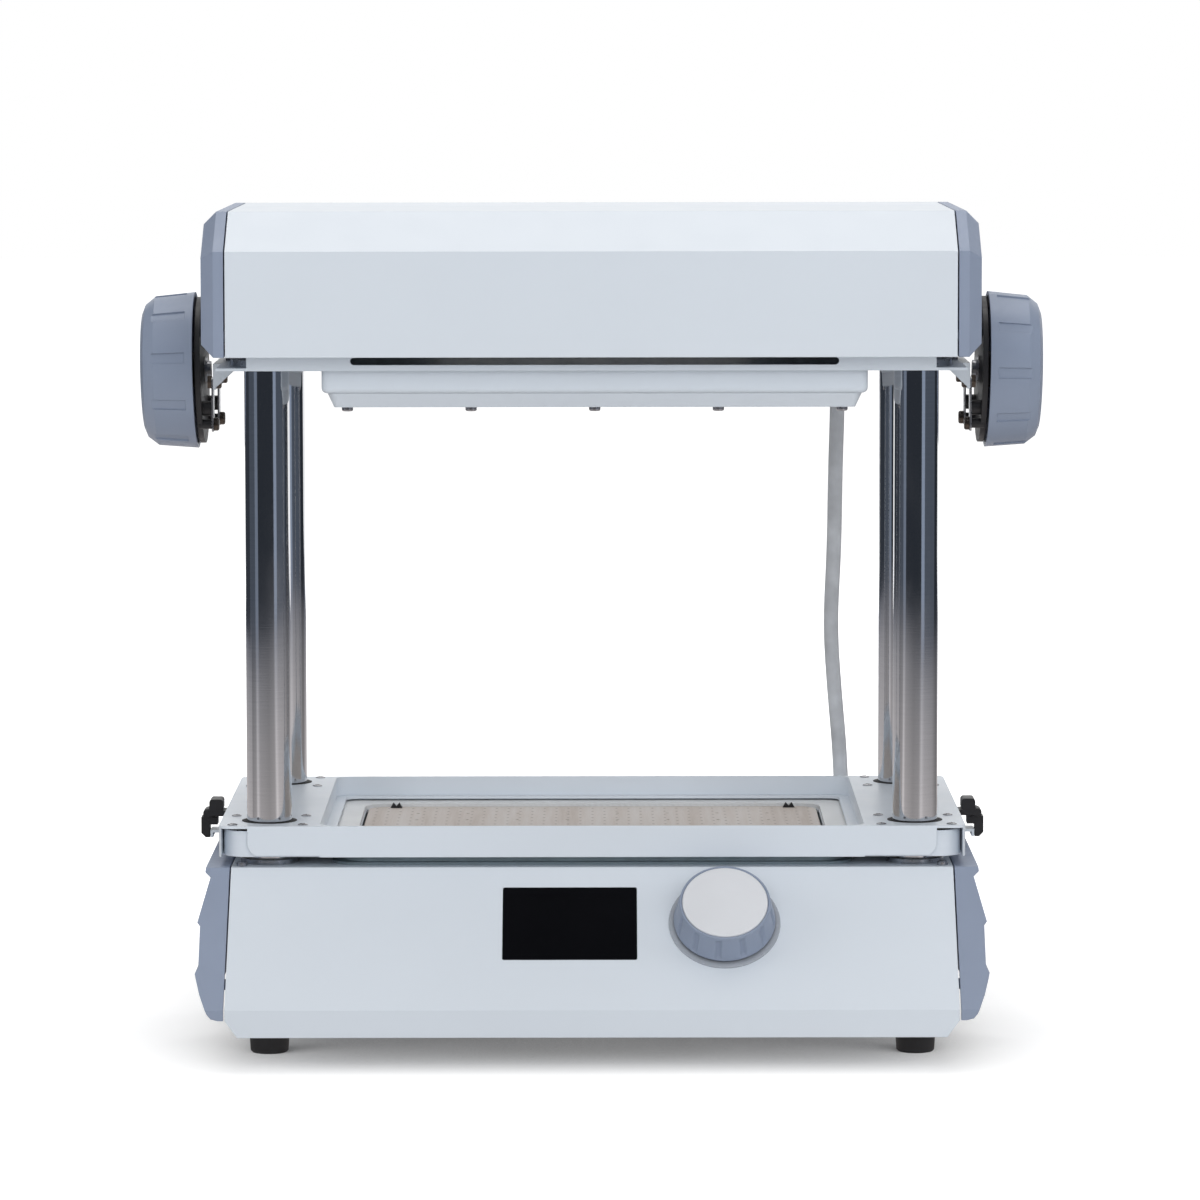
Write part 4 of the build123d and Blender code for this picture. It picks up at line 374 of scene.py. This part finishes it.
FINISHES = {
    "white_paint": powder_coat("white_powder_coat", WHITE),
    "heater_paint": powder_coat("heater_enamel", (0.68, 0.73, 0.79)),
    "grey_cap": moulded("grey_blue_plastic", GREY_BLUE),
    "knob_grey": moulded("knob_plastic", KNOB_GREY, 0.38),
    "dark_screw": plated("bronzed_steel", (0.11, 0.09, 0.075), 0.3),
    "knob_white": moulded("white_satin_plastic", (0.75, 0.765, 0.80), 0.35, depth=0.00001),
    "black_plastic": moulded("black_plastic", (0.018, 0.018, 0.020)),
    "boot_grey": moulded("boot_plastic", (0.36, 0.38, 0.42)),
    "plenum_black": moulded("tray_plastic", (0.05, 0.05, 0.055), 0.6),
    "circuit_green": moulded("circuit_board", (0.02, 0.12, 0.06), 0.4),
    "ceramic_white": moulded("ceramic", (0.78, 0.77, 0.74), 0.7),
    "cable_grey": soft_rubber("cable_jacket", (0.56, 0.58, 0.61)),
    "black_rubber": soft_rubber("black_rubber", (0.02, 0.02, 0.022)),
    "silicone": silicone("pale_silicone", (0.76, 0.775, 0.785)),
    "polished_steel": ground_steel("ground_steel"),
    "steel": plated("plain_steel", (0.52, 0.53, 0.55)),
    "screw_steel": plated("zinc_plate", (0.48, 0.48, 0.50), 0.28),
    "bezel_chrome": moulded("knob_rim", (0.40, 0.43, 0.48), 0.22, depth=0.00001),
    "reflector_metal": plated("reflector_sheet", (0.8, 0.8, 0.81), 0.2),
    "supply_metal": plated("folded_case", (0.6, 0.61, 0.62), 0.4),
    "bronze": plated("sintered_bronze", (0.42, 0.33, 0.19), 0.45),
    "screen_black": black_glass("black_glass"),
    "board_wood": maple("maple_board"),
    "quartz": milky_quartz("milky_quartz"),
}


def dress(name, material):
    """One finish over the whole of a CAD node."""
    mesh = nodes[name].data
    mesh.materials.clear()
    mesh.materials.append(material)


for subpart in frame["record"]["subparts"]:
    dress(subpart["node"], FINISHES[subpart["material_slot"]])
jacket.data.materials.append(FINISHES["cable_grey"])
# The seal's colour holds painted light as well as the rubber's own slate.
dress("bed_seal", soft_rubber("slate_rubber_and_painted_light", SEAL_SLATE_AND_PAINTED_LIGHT))
dress("vacuum_plenum", moulded("slate_tray", TRAY_SLATE, 0.5))


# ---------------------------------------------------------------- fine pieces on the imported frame
def piece(name, body, slot, points, faces, smooth=True):
    """A mesh piece that rides on a body and wears a record slot's finish."""
    mesh = bpy.data.meshes.new(name)
    mesh.from_pydata(points, [], faces)
    mesh.validate()
    mesh.materials.append(FINISHES[slot])
    for polygon in mesh.polygons:
        polygon.use_smooth = smooth
    made = bpy.data.objects.new(name, mesh)
    bpy.context.scene.collection.objects.link(made)
    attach(made, body)
    return made


def lathe(profile, place, up=(0, 0, 1), sides=40):
    """Points and faces of a profile of (radius, height) turned about an axis."""
    turn = Vector((0, 0, 1)).rotation_difference(Vector(up))
    points, faces = [], []
    for radius, height in profile:
        for k in range(sides):
            angle = 2 * pi * k / sides
            local = Vector((radius * cos(angle), radius * sin(angle), height))
            points.append(tuple(turn @ local + Vector(place)))
    for row in range(len(profile) - 1):
        for k in range(sides):
            a, b = row * sides + k, row * sides + (k + 1) % sides
            faces.append((a, b, b + sides, a + sides))
    faces.append(tuple(reversed(range(sides))))
    faces.append(tuple(range((len(profile) - 1) * sides, len(profile) * sides)))
    return points, faces


BOOT_L = 0.030
BOOT_BORE = CABLE_D / 2 + 0.0004
BOOT_SUNK = 0.001  # the boot starts this far inside its gland
FLANGE_R = 0.0076
FLANGE_T = 0.003
BOOT_RIBS = 6
RIBBED_L = BOOT_L - FLANGE_T - 0.001
RIB_R = 0.0074
RIB_TAPER = 0.0019  # how much narrower the ribs get over the boot
RIB_DEEP = 0.0009
RIB_DRAFT = 0.0002
BOOT_ROUND = 0.0002


def cable_boot(name, place, up):
    """Tapered ribbed strain relief round the cable where it leaves a gland."""
    profile = [(BOOT_BORE, -BOOT_SUNK), (FLANGE_R, -BOOT_SUNK), (FLANGE_R, FLANGE_T)]
    step = RIBBED_L / BOOT_RIBS
    for k in range(BOOT_RIBS):
        start = FLANGE_T + step * k
        outer = RIB_R - RIB_TAPER * k / BOOT_RIBS
        profile += [(outer - RIB_DEEP, start + 0.15 * step), (outer - RIB_DEEP, start + 0.4 * step)]
        profile += [(outer, start + 0.5 * step), (outer - RIB_DRAFT, start + step)]
    profile += [(BOOT_BORE, BOOT_L)]
    points, faces = lathe(profile, place, up)
    made = piece(name, "stand", "boot_grey", points, faces, smooth=False)
    soft = made.modifiers.new("round", "BEVEL")
    soft.width = BOOT_ROUND
    soft.segments = 2
    soft.limit_method = "ANGLE"


def fit_boots():
    cable_boot("cable_boot_head", CABLE_ROUTE[0], (0, 0, -1))
    cable_boot("cable_boot_base", CABLE_ROUTE[-1], (0, 0, 1))


def islands(name):
    """Lowest and highest corners of each separate solid of a node."""
    mesh = nodes[name].data
    seat, root, where = {}, [], []
    for vertex in mesh.vertices:
        spot = tuple(round(c, 6) for c in vertex.co)
        if spot not in seat:
            seat[spot] = len(root)
            root.append(len(root))
        where.append(seat[spot])

    def top(k):
        while root[k] != k:
            root[k] = root[root[k]]
            k = root[k]
        return k

    for edge in mesh.edges:
        root[top(where[edge.vertices[0]])] = top(where[edge.vertices[1]])
    boxes = {}
    for spot, k in seat.items():
        low, high = boxes.setdefault(top(k), (list(spot), list(spot)))
        for axis in range(3):
            low[axis] = min(low[axis], spot[axis])
            high[axis] = max(high[axis], spot[axis])
    return list(boxes.values())


def body_holding(name):
    """The body that a node belongs to in the record."""
    bodies = frame["record"]["behaviour"]["bodies"]
    return next(body for body, held in bodies.items() if name in held)


def middle(low, high):
    """The middle of a box in plan."""
    return (low[0] + high[0]) / 2, (low[1] + high[1]) / 2


def half_width(low, high):
    """Half of a box's width from left to right."""
    return (high[0] - low[0]) / 2


def renumbered(faces, start):
    """Faces whose points come after the first start ones."""
    return [tuple(k + start for k in face) for face in faces]


POST_R = 0.0125
WIPER_GAP = 0.0003  # between a wiper ring and its post
WIPER_INSET = 0.0012  # how much smaller the ring is than its solid
WIPER_RISE = 0.0002
LIP_W, LIP_RISE, LIP_EDGE_RISE = 0.0004, 0.0005, 0.0003


def wiper_rings():
    """Thin wiper rings round the posts, all but flush with the frame's top."""
    points, faces = [], []
    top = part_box("clamp_frame")[1][2]
    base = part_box("post_rings")[0][2]
    inner = POST_R + WIPER_GAP
    for low, high in islands("post_rings"):
        outer = half_width(low, high) - WIPER_INSET
        profile = [(inner, base), (outer, base), (outer, top + WIPER_RISE)]
        profile += [(inner + LIP_W, top + LIP_RISE), (inner, top + LIP_EDGE_RISE)]
        more_points, more_faces = lathe(profile, (*middle(low, high), 0))
        faces += renumbered(more_faces[:-2], len(points))
        points += more_points
    made = piece("wiper_rings", body_holding("post_rings"), "black_rubber", points, faces)
    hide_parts("post_rings")


KNOB_FACING = Vector((0, -1, 1)).normalized()  # the fascia's slope
KNOB_H = 0.0196
CAP_BACK = 0.0185  # from the knob's foot to the middle of its cap
SKIRT_LIFT = 0.0027  # air under the skirt
WELL_DEEP = 0.0026  # the cap's well in the knob's face
WELL_FLOOR_R = 0.004
RIM_W = 0.0016  # the face's rim round the cap
FOOT_TURN_IN = 0.0026
SKIRT_ROWS = 26
SKIRT_SWELL = 0.9  # below 1, the taper is fuller near the foot
KNOB_SIDES = 240
KNOB_FLUTES = 12
FLUTE_TURN = -8.5  # degrees from the lowest point to the first flute
FLUTE_W = 0.0034
FLUTE_DEPTH = 0.0013
FLUTE_RUN_OUT = 0.0014
FLUTE_FROM = SKIRT_LIFT + 0.0016
FLUTE_TO = KNOB_H - 0.0022


def knob_profile(foot_r, cap_r):
    """(radius, height) from the turned-in foot, up the skirt, over the rim and into the well."""
    rim_r = cap_r + RIM_W
    well = KNOB_H - WELL_DEEP
    foot_top = SKIRT_LIFT + 0.0006
    skirt_h = KNOB_H - 0.0007 - foot_top
    rows = [(foot_r - FOOT_TURN_IN, SKIRT_LIFT + 0.0008), (foot_r - FOOT_TURN_IN + 0.0004, SKIRT_LIFT)]
    rows += [(foot_r - 0.0005, SKIRT_LIFT), (foot_r, foot_top)]
    for k in range(1, SKIRT_ROWS):
        part = k / SKIRT_ROWS
        rows.append((foot_r + (rim_r - foot_r) * part**SKIRT_SWELL, foot_top + skirt_h * part))
    rows += [(rim_r - 0.0001, KNOB_H - 0.0004), (rim_r - 0.0004, KNOB_H - 0.0001)]
    rows += [(rim_r - 0.0007, KNOB_H), (cap_r + 0.0004, KNOB_H - 0.0001)]
    rows += [(cap_r + 0.0002, KNOB_H - 0.0004), (cap_r + 0.0002, well), (WELL_FLOOR_R, well)]
    return rows


def flute_sink(angle, radius, level):
    """How deep the nearest flute is at that angle in degrees and that height."""
    pitch = 360 / KNOB_FLUTES
    away = (angle - FLUTE_TURN + pitch / 2) % pitch - pitch / 2
    across = abs(radians(away)) * radius / (FLUTE_W / 2)
    along = min(level - FLUTE_FROM, FLUTE_TO - level) / FLUTE_RUN_OUT
    if across >= 1 or along <= 0:
        return 0.0
    return FLUTE_DEPTH * min(1.0, (1 - across) / 0.3) * min(1.0, along) ** 0.5


def fluted_knob():
    """The knob's skirt, its flutes following the taper, with the cap's well and a turned-in foot."""
    low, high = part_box("knob_cap")
    foot = (Vector(low) + Vector(high)) / 2 - KNOB_FACING * CAP_BACK
    rows = knob_profile(half_width(*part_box("control_knob")), half_width(low, high))
    side_dir = Vector((1, 0, 0))
    down_dir = KNOB_FACING.cross(side_dir)
    points, faces = [], []
    for radius, level in rows:
        for k in range(KNOB_SIDES):
            angle = 360 * k / KNOB_SIDES
            reach = radius - flute_sink(angle, radius, level)
            turn = radians(angle)
            out = side_dir * sin(turn) - down_dir * cos(turn)
            points.append(tuple(foot + KNOB_FACING * level + out * reach))
    for row in range(len(rows) - 1):
        for k in range(KNOB_SIDES):
            a, b = row * KNOB_SIDES + k, row * KNOB_SIDES + (k + 1) % KNOB_SIDES
            faces.append((a, b, b + KNOB_SIDES, a + KNOB_SIDES))
    made = piece("fluted_knob", "knob", "knob_grey", points, faces)
    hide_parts("control_knob")


HEAD_H = 0.0008
HEAD_DOME = [(1.0, 0.0), (1.0, 0.0003), (0.85, 0.0006), (0.4, HEAD_H)]  # share of the radius, rise


def low_screws():
    """Low domed heads round each post, on short shanks. Gives the height of their faces."""
    points, faces = [], []
    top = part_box("clamp_frame")[1][2]
    for low, high in islands("clamp_screws"):
        r = half_width(low, high)
        profile = [(r * 0.5, low[2]), (r * 0.5, top)]
        profile += [(r * part, top + rise) for part, rise in HEAD_DOME]
        more_points, more_faces = lathe(profile, (*middle(low, high), 0), sides=24)
        faces += renumbered(more_faces, len(points))
        points += more_points
    made = piece("low_screws", body_holding("clamp_screws"), "screw_steel", points, faces)
    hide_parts("clamp_screws")
    return top + HEAD_H


# The black crosses made with these are painted shade for the screws' cross recess.
CROSS_REACH = 0.56  # of the head's radius
CROSS_W = 0.13
CROSS_SPIN, CROSS_STEP = 0.3, 0.9  # radians: the first cross's turn, and from one to the next
CROSS_SUNK, CROSS_PROUD = -0.00030, 0.00004


def cross_outline(radius, turn):
    """A cross recess seen from above, its arms a little narrower at their ends."""
    arm, half = radius * CROSS_REACH, radius * CROSS_W
    quarter = [(arm, -half * 0.6), (arm, half * 0.6), (half, half)]
    outline = []
    for _ in range(4):
        outline += quarter
        quarter = [(-v, u) for u, v in quarter]
    return [(u * cos(turn) - v * sin(turn), u * sin(turn) + v * cos(turn)) for u, v in outline]


def paint_recess_shade(name, up, level=None):
    """A black cross set into the face of each screw head of a node, just proud of it: painted shade for
    the cross recess.
    """
    points, faces = [], []
    for count, (low, high) in enumerate(islands(name)):
        x, y = middle(low, high)
        face = level or (high[2] if up > 0 else low[2])
        outline = cross_outline(half_width(low, high), CROSS_SPIN + CROSS_STEP * count)
        first, size = len(points), len(outline)
        for lift in (CROSS_SUNK, CROSS_PROUD):
            points += [(x + u, y + v, face + up * lift) for u, v in outline]
        for k in range(size):
            a, b = first + k, first + (k + 1) % size
            faces.append((a, b, b + size, a + size))
        faces.append(tuple(first + size + k for k in range(size)))
    # Black crosses: the shade of each cross recess is painted.
    piece(name + "_painted_recess_shade", body_holding(name), "black_plastic", points, faces, smooth=False)


def mark_screws():
    paint_recess_shade("clamp_screws", 1, level=low_screws())
    paint_recess_shade("head_screws", -1)


fit_boots()
fluted_knob()
wiper_rings()
mark_screws()


# ---------------------------------------------------------------- floor, surroundings and lamps
WALL_RADIUS = 2.45  # the studio's dark walls, as the polished posts mirror them
ROOM_TOP = 2.6
WALL_STEP = 5  # degrees
FLOOR_HALF = 12.0
FLOOR_GREY = (0.62, 0.62, 0.62, 1)
FLOOR_NEAR = 0.68  # how much of the floor's white is its own, close to the machine
NEAR, FAR = 0.35, 1.15  # where that begins to rise, and where it is all its own
# The three values below paint the machine's shadow into the floor's own white.
SHADE_REACH = 0.13  # how near a piece ahead has to be to shade the floor's own white
SHADE_FULL, SHADE_NONE = 0.54, 0.94  # open share at which the own white is gone, and whole


def seen_directly(material):
    """1 for the rays of the camera, mirrors and glass, 0 for those of light."""
    path = add_node(material, "ShaderNodeLightPath").outputs
    seen = maths(material, "MAXIMUM", path["Is Camera Ray"], path["Is Glossy Ray"])
    return maths(material, "MAXIMUM", seen, path["Is Transmission Ray"])


def painted_shadow_factor(material):
    """0 to 1: how open the floor's surroundings are, looking level to the front; it paints a shadow
    into the floor's glow.
    """
    ahead = add_node(material, "ShaderNodeCombineXYZ", X=0.0, Y=-1.0, Z=0.0)
    near = add_node(material, "ShaderNodeAmbientOcclusion", Distance=SHADE_REACH)
    near.samples = 8
    link(material, ahead.outputs[0], near.inputs["Normal"])
    return rescale(material, near.outputs["AO"], SHADE_FULL, SHADE_NONE)


def floor_material():
    """Pale floor: white to the camera, darkened by the machine's shadow, with more shadow painted into
    its glow.
    """
    material = bpy.data.materials.new("pale_floor")
    material.use_nodes = True
    material.node_tree.nodes.clear()
    out = add_node(material, "ShaderNodeOutputMaterial")
    both = add_node(material, "ShaderNodeAddShader")
    diffuse = add_node(material, "ShaderNodeBsdfDiffuse", Color=FLOOR_GREY)
    glow = add_node(material, "ShaderNodeEmission", Color=(1, 1, 1, 1))
    rise = add_node(
        material, "ShaderNodeMapRange", From_Min=NEAR, From_Max=FAR, To_Min=FLOOR_NEAR, To_Max=1.0
    )
    rise.interpolation_type = "SMOOTHSTEP"
    link(material, away_from_origin(material, row_place(material)), rise.inputs["Value"])
    # The floor's own glow, with the machine's shadow painted into it.
    own = maths(material, "MULTIPLY", rise.outputs["Result"], painted_shadow_factor(material))
    level = maths(material, "MULTIPLY", seen_directly(material), own)
    link(material, level, glow.inputs["Strength"])
    link(material, diffuse.outputs[0], both.inputs[0])
    link(material, glow.outputs[0], both.inputs[1])
    link(material, both.outputs[0], out.inputs["Surface"])
    return material


def flat_sheet(name, left, right, front, back, height, material):
    """A level rectangle of the studio."""
    mesh = bpy.data.meshes.new(name)
    corners = [(left, front), (right, front), (right, back), (left, back)]
    mesh.from_pydata([(*corner, height) for corner in corners], [], [(0, 1, 2, 3)])
    mesh.materials.append(material)
    return bpy.data.objects.new(name, mesh)


def lay_floor():
    half = FLOOR_HALF
    floor = flat_sheet("floor", -half, half, -half, half, 0, floor_material())
    bpy.context.scene.collection.objects.link(floor)


GLOW_TINT = (0.66, 0.78, 1.0, 1)


def glow_material(name, level):
    """An even glow of the studio's cool tint."""
    material = bpy.data.materials.new(name)
    material.use_nodes = True
    material.node_tree.nodes.clear()
    out = add_node(material, "ShaderNodeOutputMaterial")
    glow = add_node(material, "ShaderNodeEmission", Color=GLOW_TINT, Strength=level)
    link(material, glow.outputs[0], out.inputs["Surface"])
    return material


def wall(name, start, end, level):
    """A curved studio wall that only reflections see."""
    mesh = bpy.data.meshes.new(name)
    steps = max(2, int((end - start) / WALL_STEP))
    points = []
    for k in range(steps + 1):
        turn = radians(start + (end - start) * k / steps)
        x, y = WALL_RADIUS * sin(turn), -WALL_RADIUS * cos(turn)
        points += [(x, y, 0.0), (x, y, ROOM_TOP)]
    faces = [(2 * k, 2 * k + 2, 2 * k + 3, 2 * k + 1) for k in range(steps)]
    mesh.from_pydata(points, [], faces)
    mesh.materials.append(glow_material(name, level))
    reflected_only(bpy.data.objects.new(name, mesh))


# Each wall's start and end in degrees from the camera's side, to the right, and its glow.
WALLS = [
    ("wall_front", -50, 30, 0.045),
    ("softbox_left", -66, -50, 0.32),
    ("wall_left_near", -100, -66, 0.13),
    ("wall_left", -150, -100, 0.06),
    ("softbox_right", 30, 46, 0.50),
    ("wall_right", 46, 106, 0.14),
    ("wall_right_back", 106, 137, 0.04),
]


def reflected_only(obj):
    """Kept from the camera and from the light: only mirrors see it."""
    for ray in ("camera", "diffuse", "transmission", "volume_scatter", "shadow"):
        setattr(obj, f"visible_{ray}", False)
    bpy.context.scene.collection.objects.link(obj)


# The table glow's painted brightness round the machine: a full turn from the left, by way of the front.
TABLE_BANDS = [
    (0.00, 0.45),
    (0.06, 0.55),
    (0.085, 1.0),
    (0.12, 0.62),
    (0.24, 0.48),
    (0.315, 0.55),
    (0.345, 1.0),
    (0.385, 0.75),
    (0.50, 0.62),
    (0.60, 0.30),
    (0.68, 0.80),
    (1.00, 0.70),
]


# The table glow's colour with its painted falloff of light, from the machine, 0, to its far edge, 1.
TABLE_PAINTED_FALLOFF = [
    (0.0, (0.92, 0.86, 0.84)),
    (0.35, (0.78, 0.73, 0.72)),
    (0.8, (0.46, 0.45, 0.47)),
    (1.0, (0.20, 0.21, 0.25)),
]
TABLE_FROM = 0.2
TABLE_GLOW = 1.15
TABLE_Z = 0.002


def studio_table():
    """The table as the posts mirror it, painted into a glowing sheet: lit near the machine, dim towards
    its far edge.
    """
    material = glow_material("table_glow", TABLE_GLOW)
    place = row_place(material)
    far = rescale(material, away_from_origin(material, place), TABLE_FROM, WALL_RADIUS)
    around = add_node(material, "ShaderNodeTexGradient")
    around.gradient_type = "RADIAL"
    link(material, place, around.inputs["Vector"])
    bands = ramp(material, around.outputs["Fac"], [(at, (level,) * 3) for at, level in TABLE_BANDS])
    both = mix_colours(material, "MULTIPLY")
    both.inputs[MIX_FACTOR].default_value = 1
    link(material, ramp(material, far, TABLE_PAINTED_FALLOFF), both.inputs[MIX_A])
    link(material, bands, both.inputs[MIX_B])
    link(material, both.outputs[MIX_OUT], material.node_tree.nodes["Emission"].inputs["Color"])
    half = WALL_RADIUS
    reflected_only(flat_sheet("studio_table", -half, half, -half, half, TABLE_Z, material))


CEILING_HALF = 0.9
CEILING_Z = 1.75
CEILING_GLOW = 0.03


def dark_ceiling():
    """What the dark glass mirrors: an unlit patch of ceiling in front of the head."""
    material = glow_material("ceiling_dark", CEILING_GLOW)
    half = CEILING_HALF
    reflected_only(flat_sheet("dark_ceiling", -half, half, -half, 0, CEILING_Z, material))


def build_room():
    for name, start, end, level in WALLS:
        wall(name, start, end, level)
    studio_table()
    dark_ceiling()


def lamp(name, place, aim, size, power, colour, glossy=True):
    """A soft box at a place, turned to a point."""
    data = bpy.data.lights.new(name, "AREA")
    data.shape = "RECTANGLE"
    data.size, data.size_y = size
    data.energy = power
    data.color = colour
    made = bpy.data.objects.new(name, data)
    made.location = place
    made.rotation_mode = "QUATERNION"
    made.rotation_quaternion = (Vector(aim) - Vector(place)).to_track_quat("-Z", "Y")
    made.visible_glossy = glossy
    bpy.context.scene.collection.objects.link(made)


WARM, MILD, COOL = (1.0, 0.97, 0.94), (1.0, 0.99, 0.98), (0.97, 0.985, 1.0)
SIDE_BOX = (1.0, 1.2)


def light_scene():
    """Soft boxes over, before, beside and behind the machine. Only the key shows in mirrors."""
    lamp("key", (0.0, 0.5, 2.35), (0, 0, 0.45), (2.6, 1.2), 15, WARM)
    lamp("fill", (0.0, -0.8, 2.3), (0, 0, 0.2), (2.6, 1.4), 11, MILD, glossy=False)
    lamp("front", (0.3, -3.2, 1.1), (0, 0, 0.25), (3.2, 1.6), 48, COOL, glossy=False)
    lamp("left", (-2.3, -0.9, 0.9), (0, 0, 0.25), SIDE_BOX, 7, COOL, glossy=False)
    lamp("right", (2.3, -0.9, 0.9), (0, 0, 0.25), SIDE_BOX, 7, COOL, glossy=False)
    lamp("back", (0.0, 2.6, 1.5), (0, 0, 0.3), (2.6, 1.4), 30, COOL, glossy=False)


WORLD_LIGHT = 0.25


def light_world():
    """Even light all round; white where the camera, mirrors and glass look past the floor."""
    world = bpy.data.worlds.new("studio")
    world.use_nodes = True
    bpy.context.scene.world = world
    background = world.node_tree.nodes["Background"]
    background.inputs["Color"].default_value = (1, 1, 1, 1)
    level = rescale(world, seen_directly(world), 0.0, 1.0, WORLD_LIGHT, 1.0)
    link(world, level, background.inputs["Strength"])


lay_floor()
build_room()
light_scene()
light_world()
bpy.context.scene.view_settings.view_transform = "Standard"
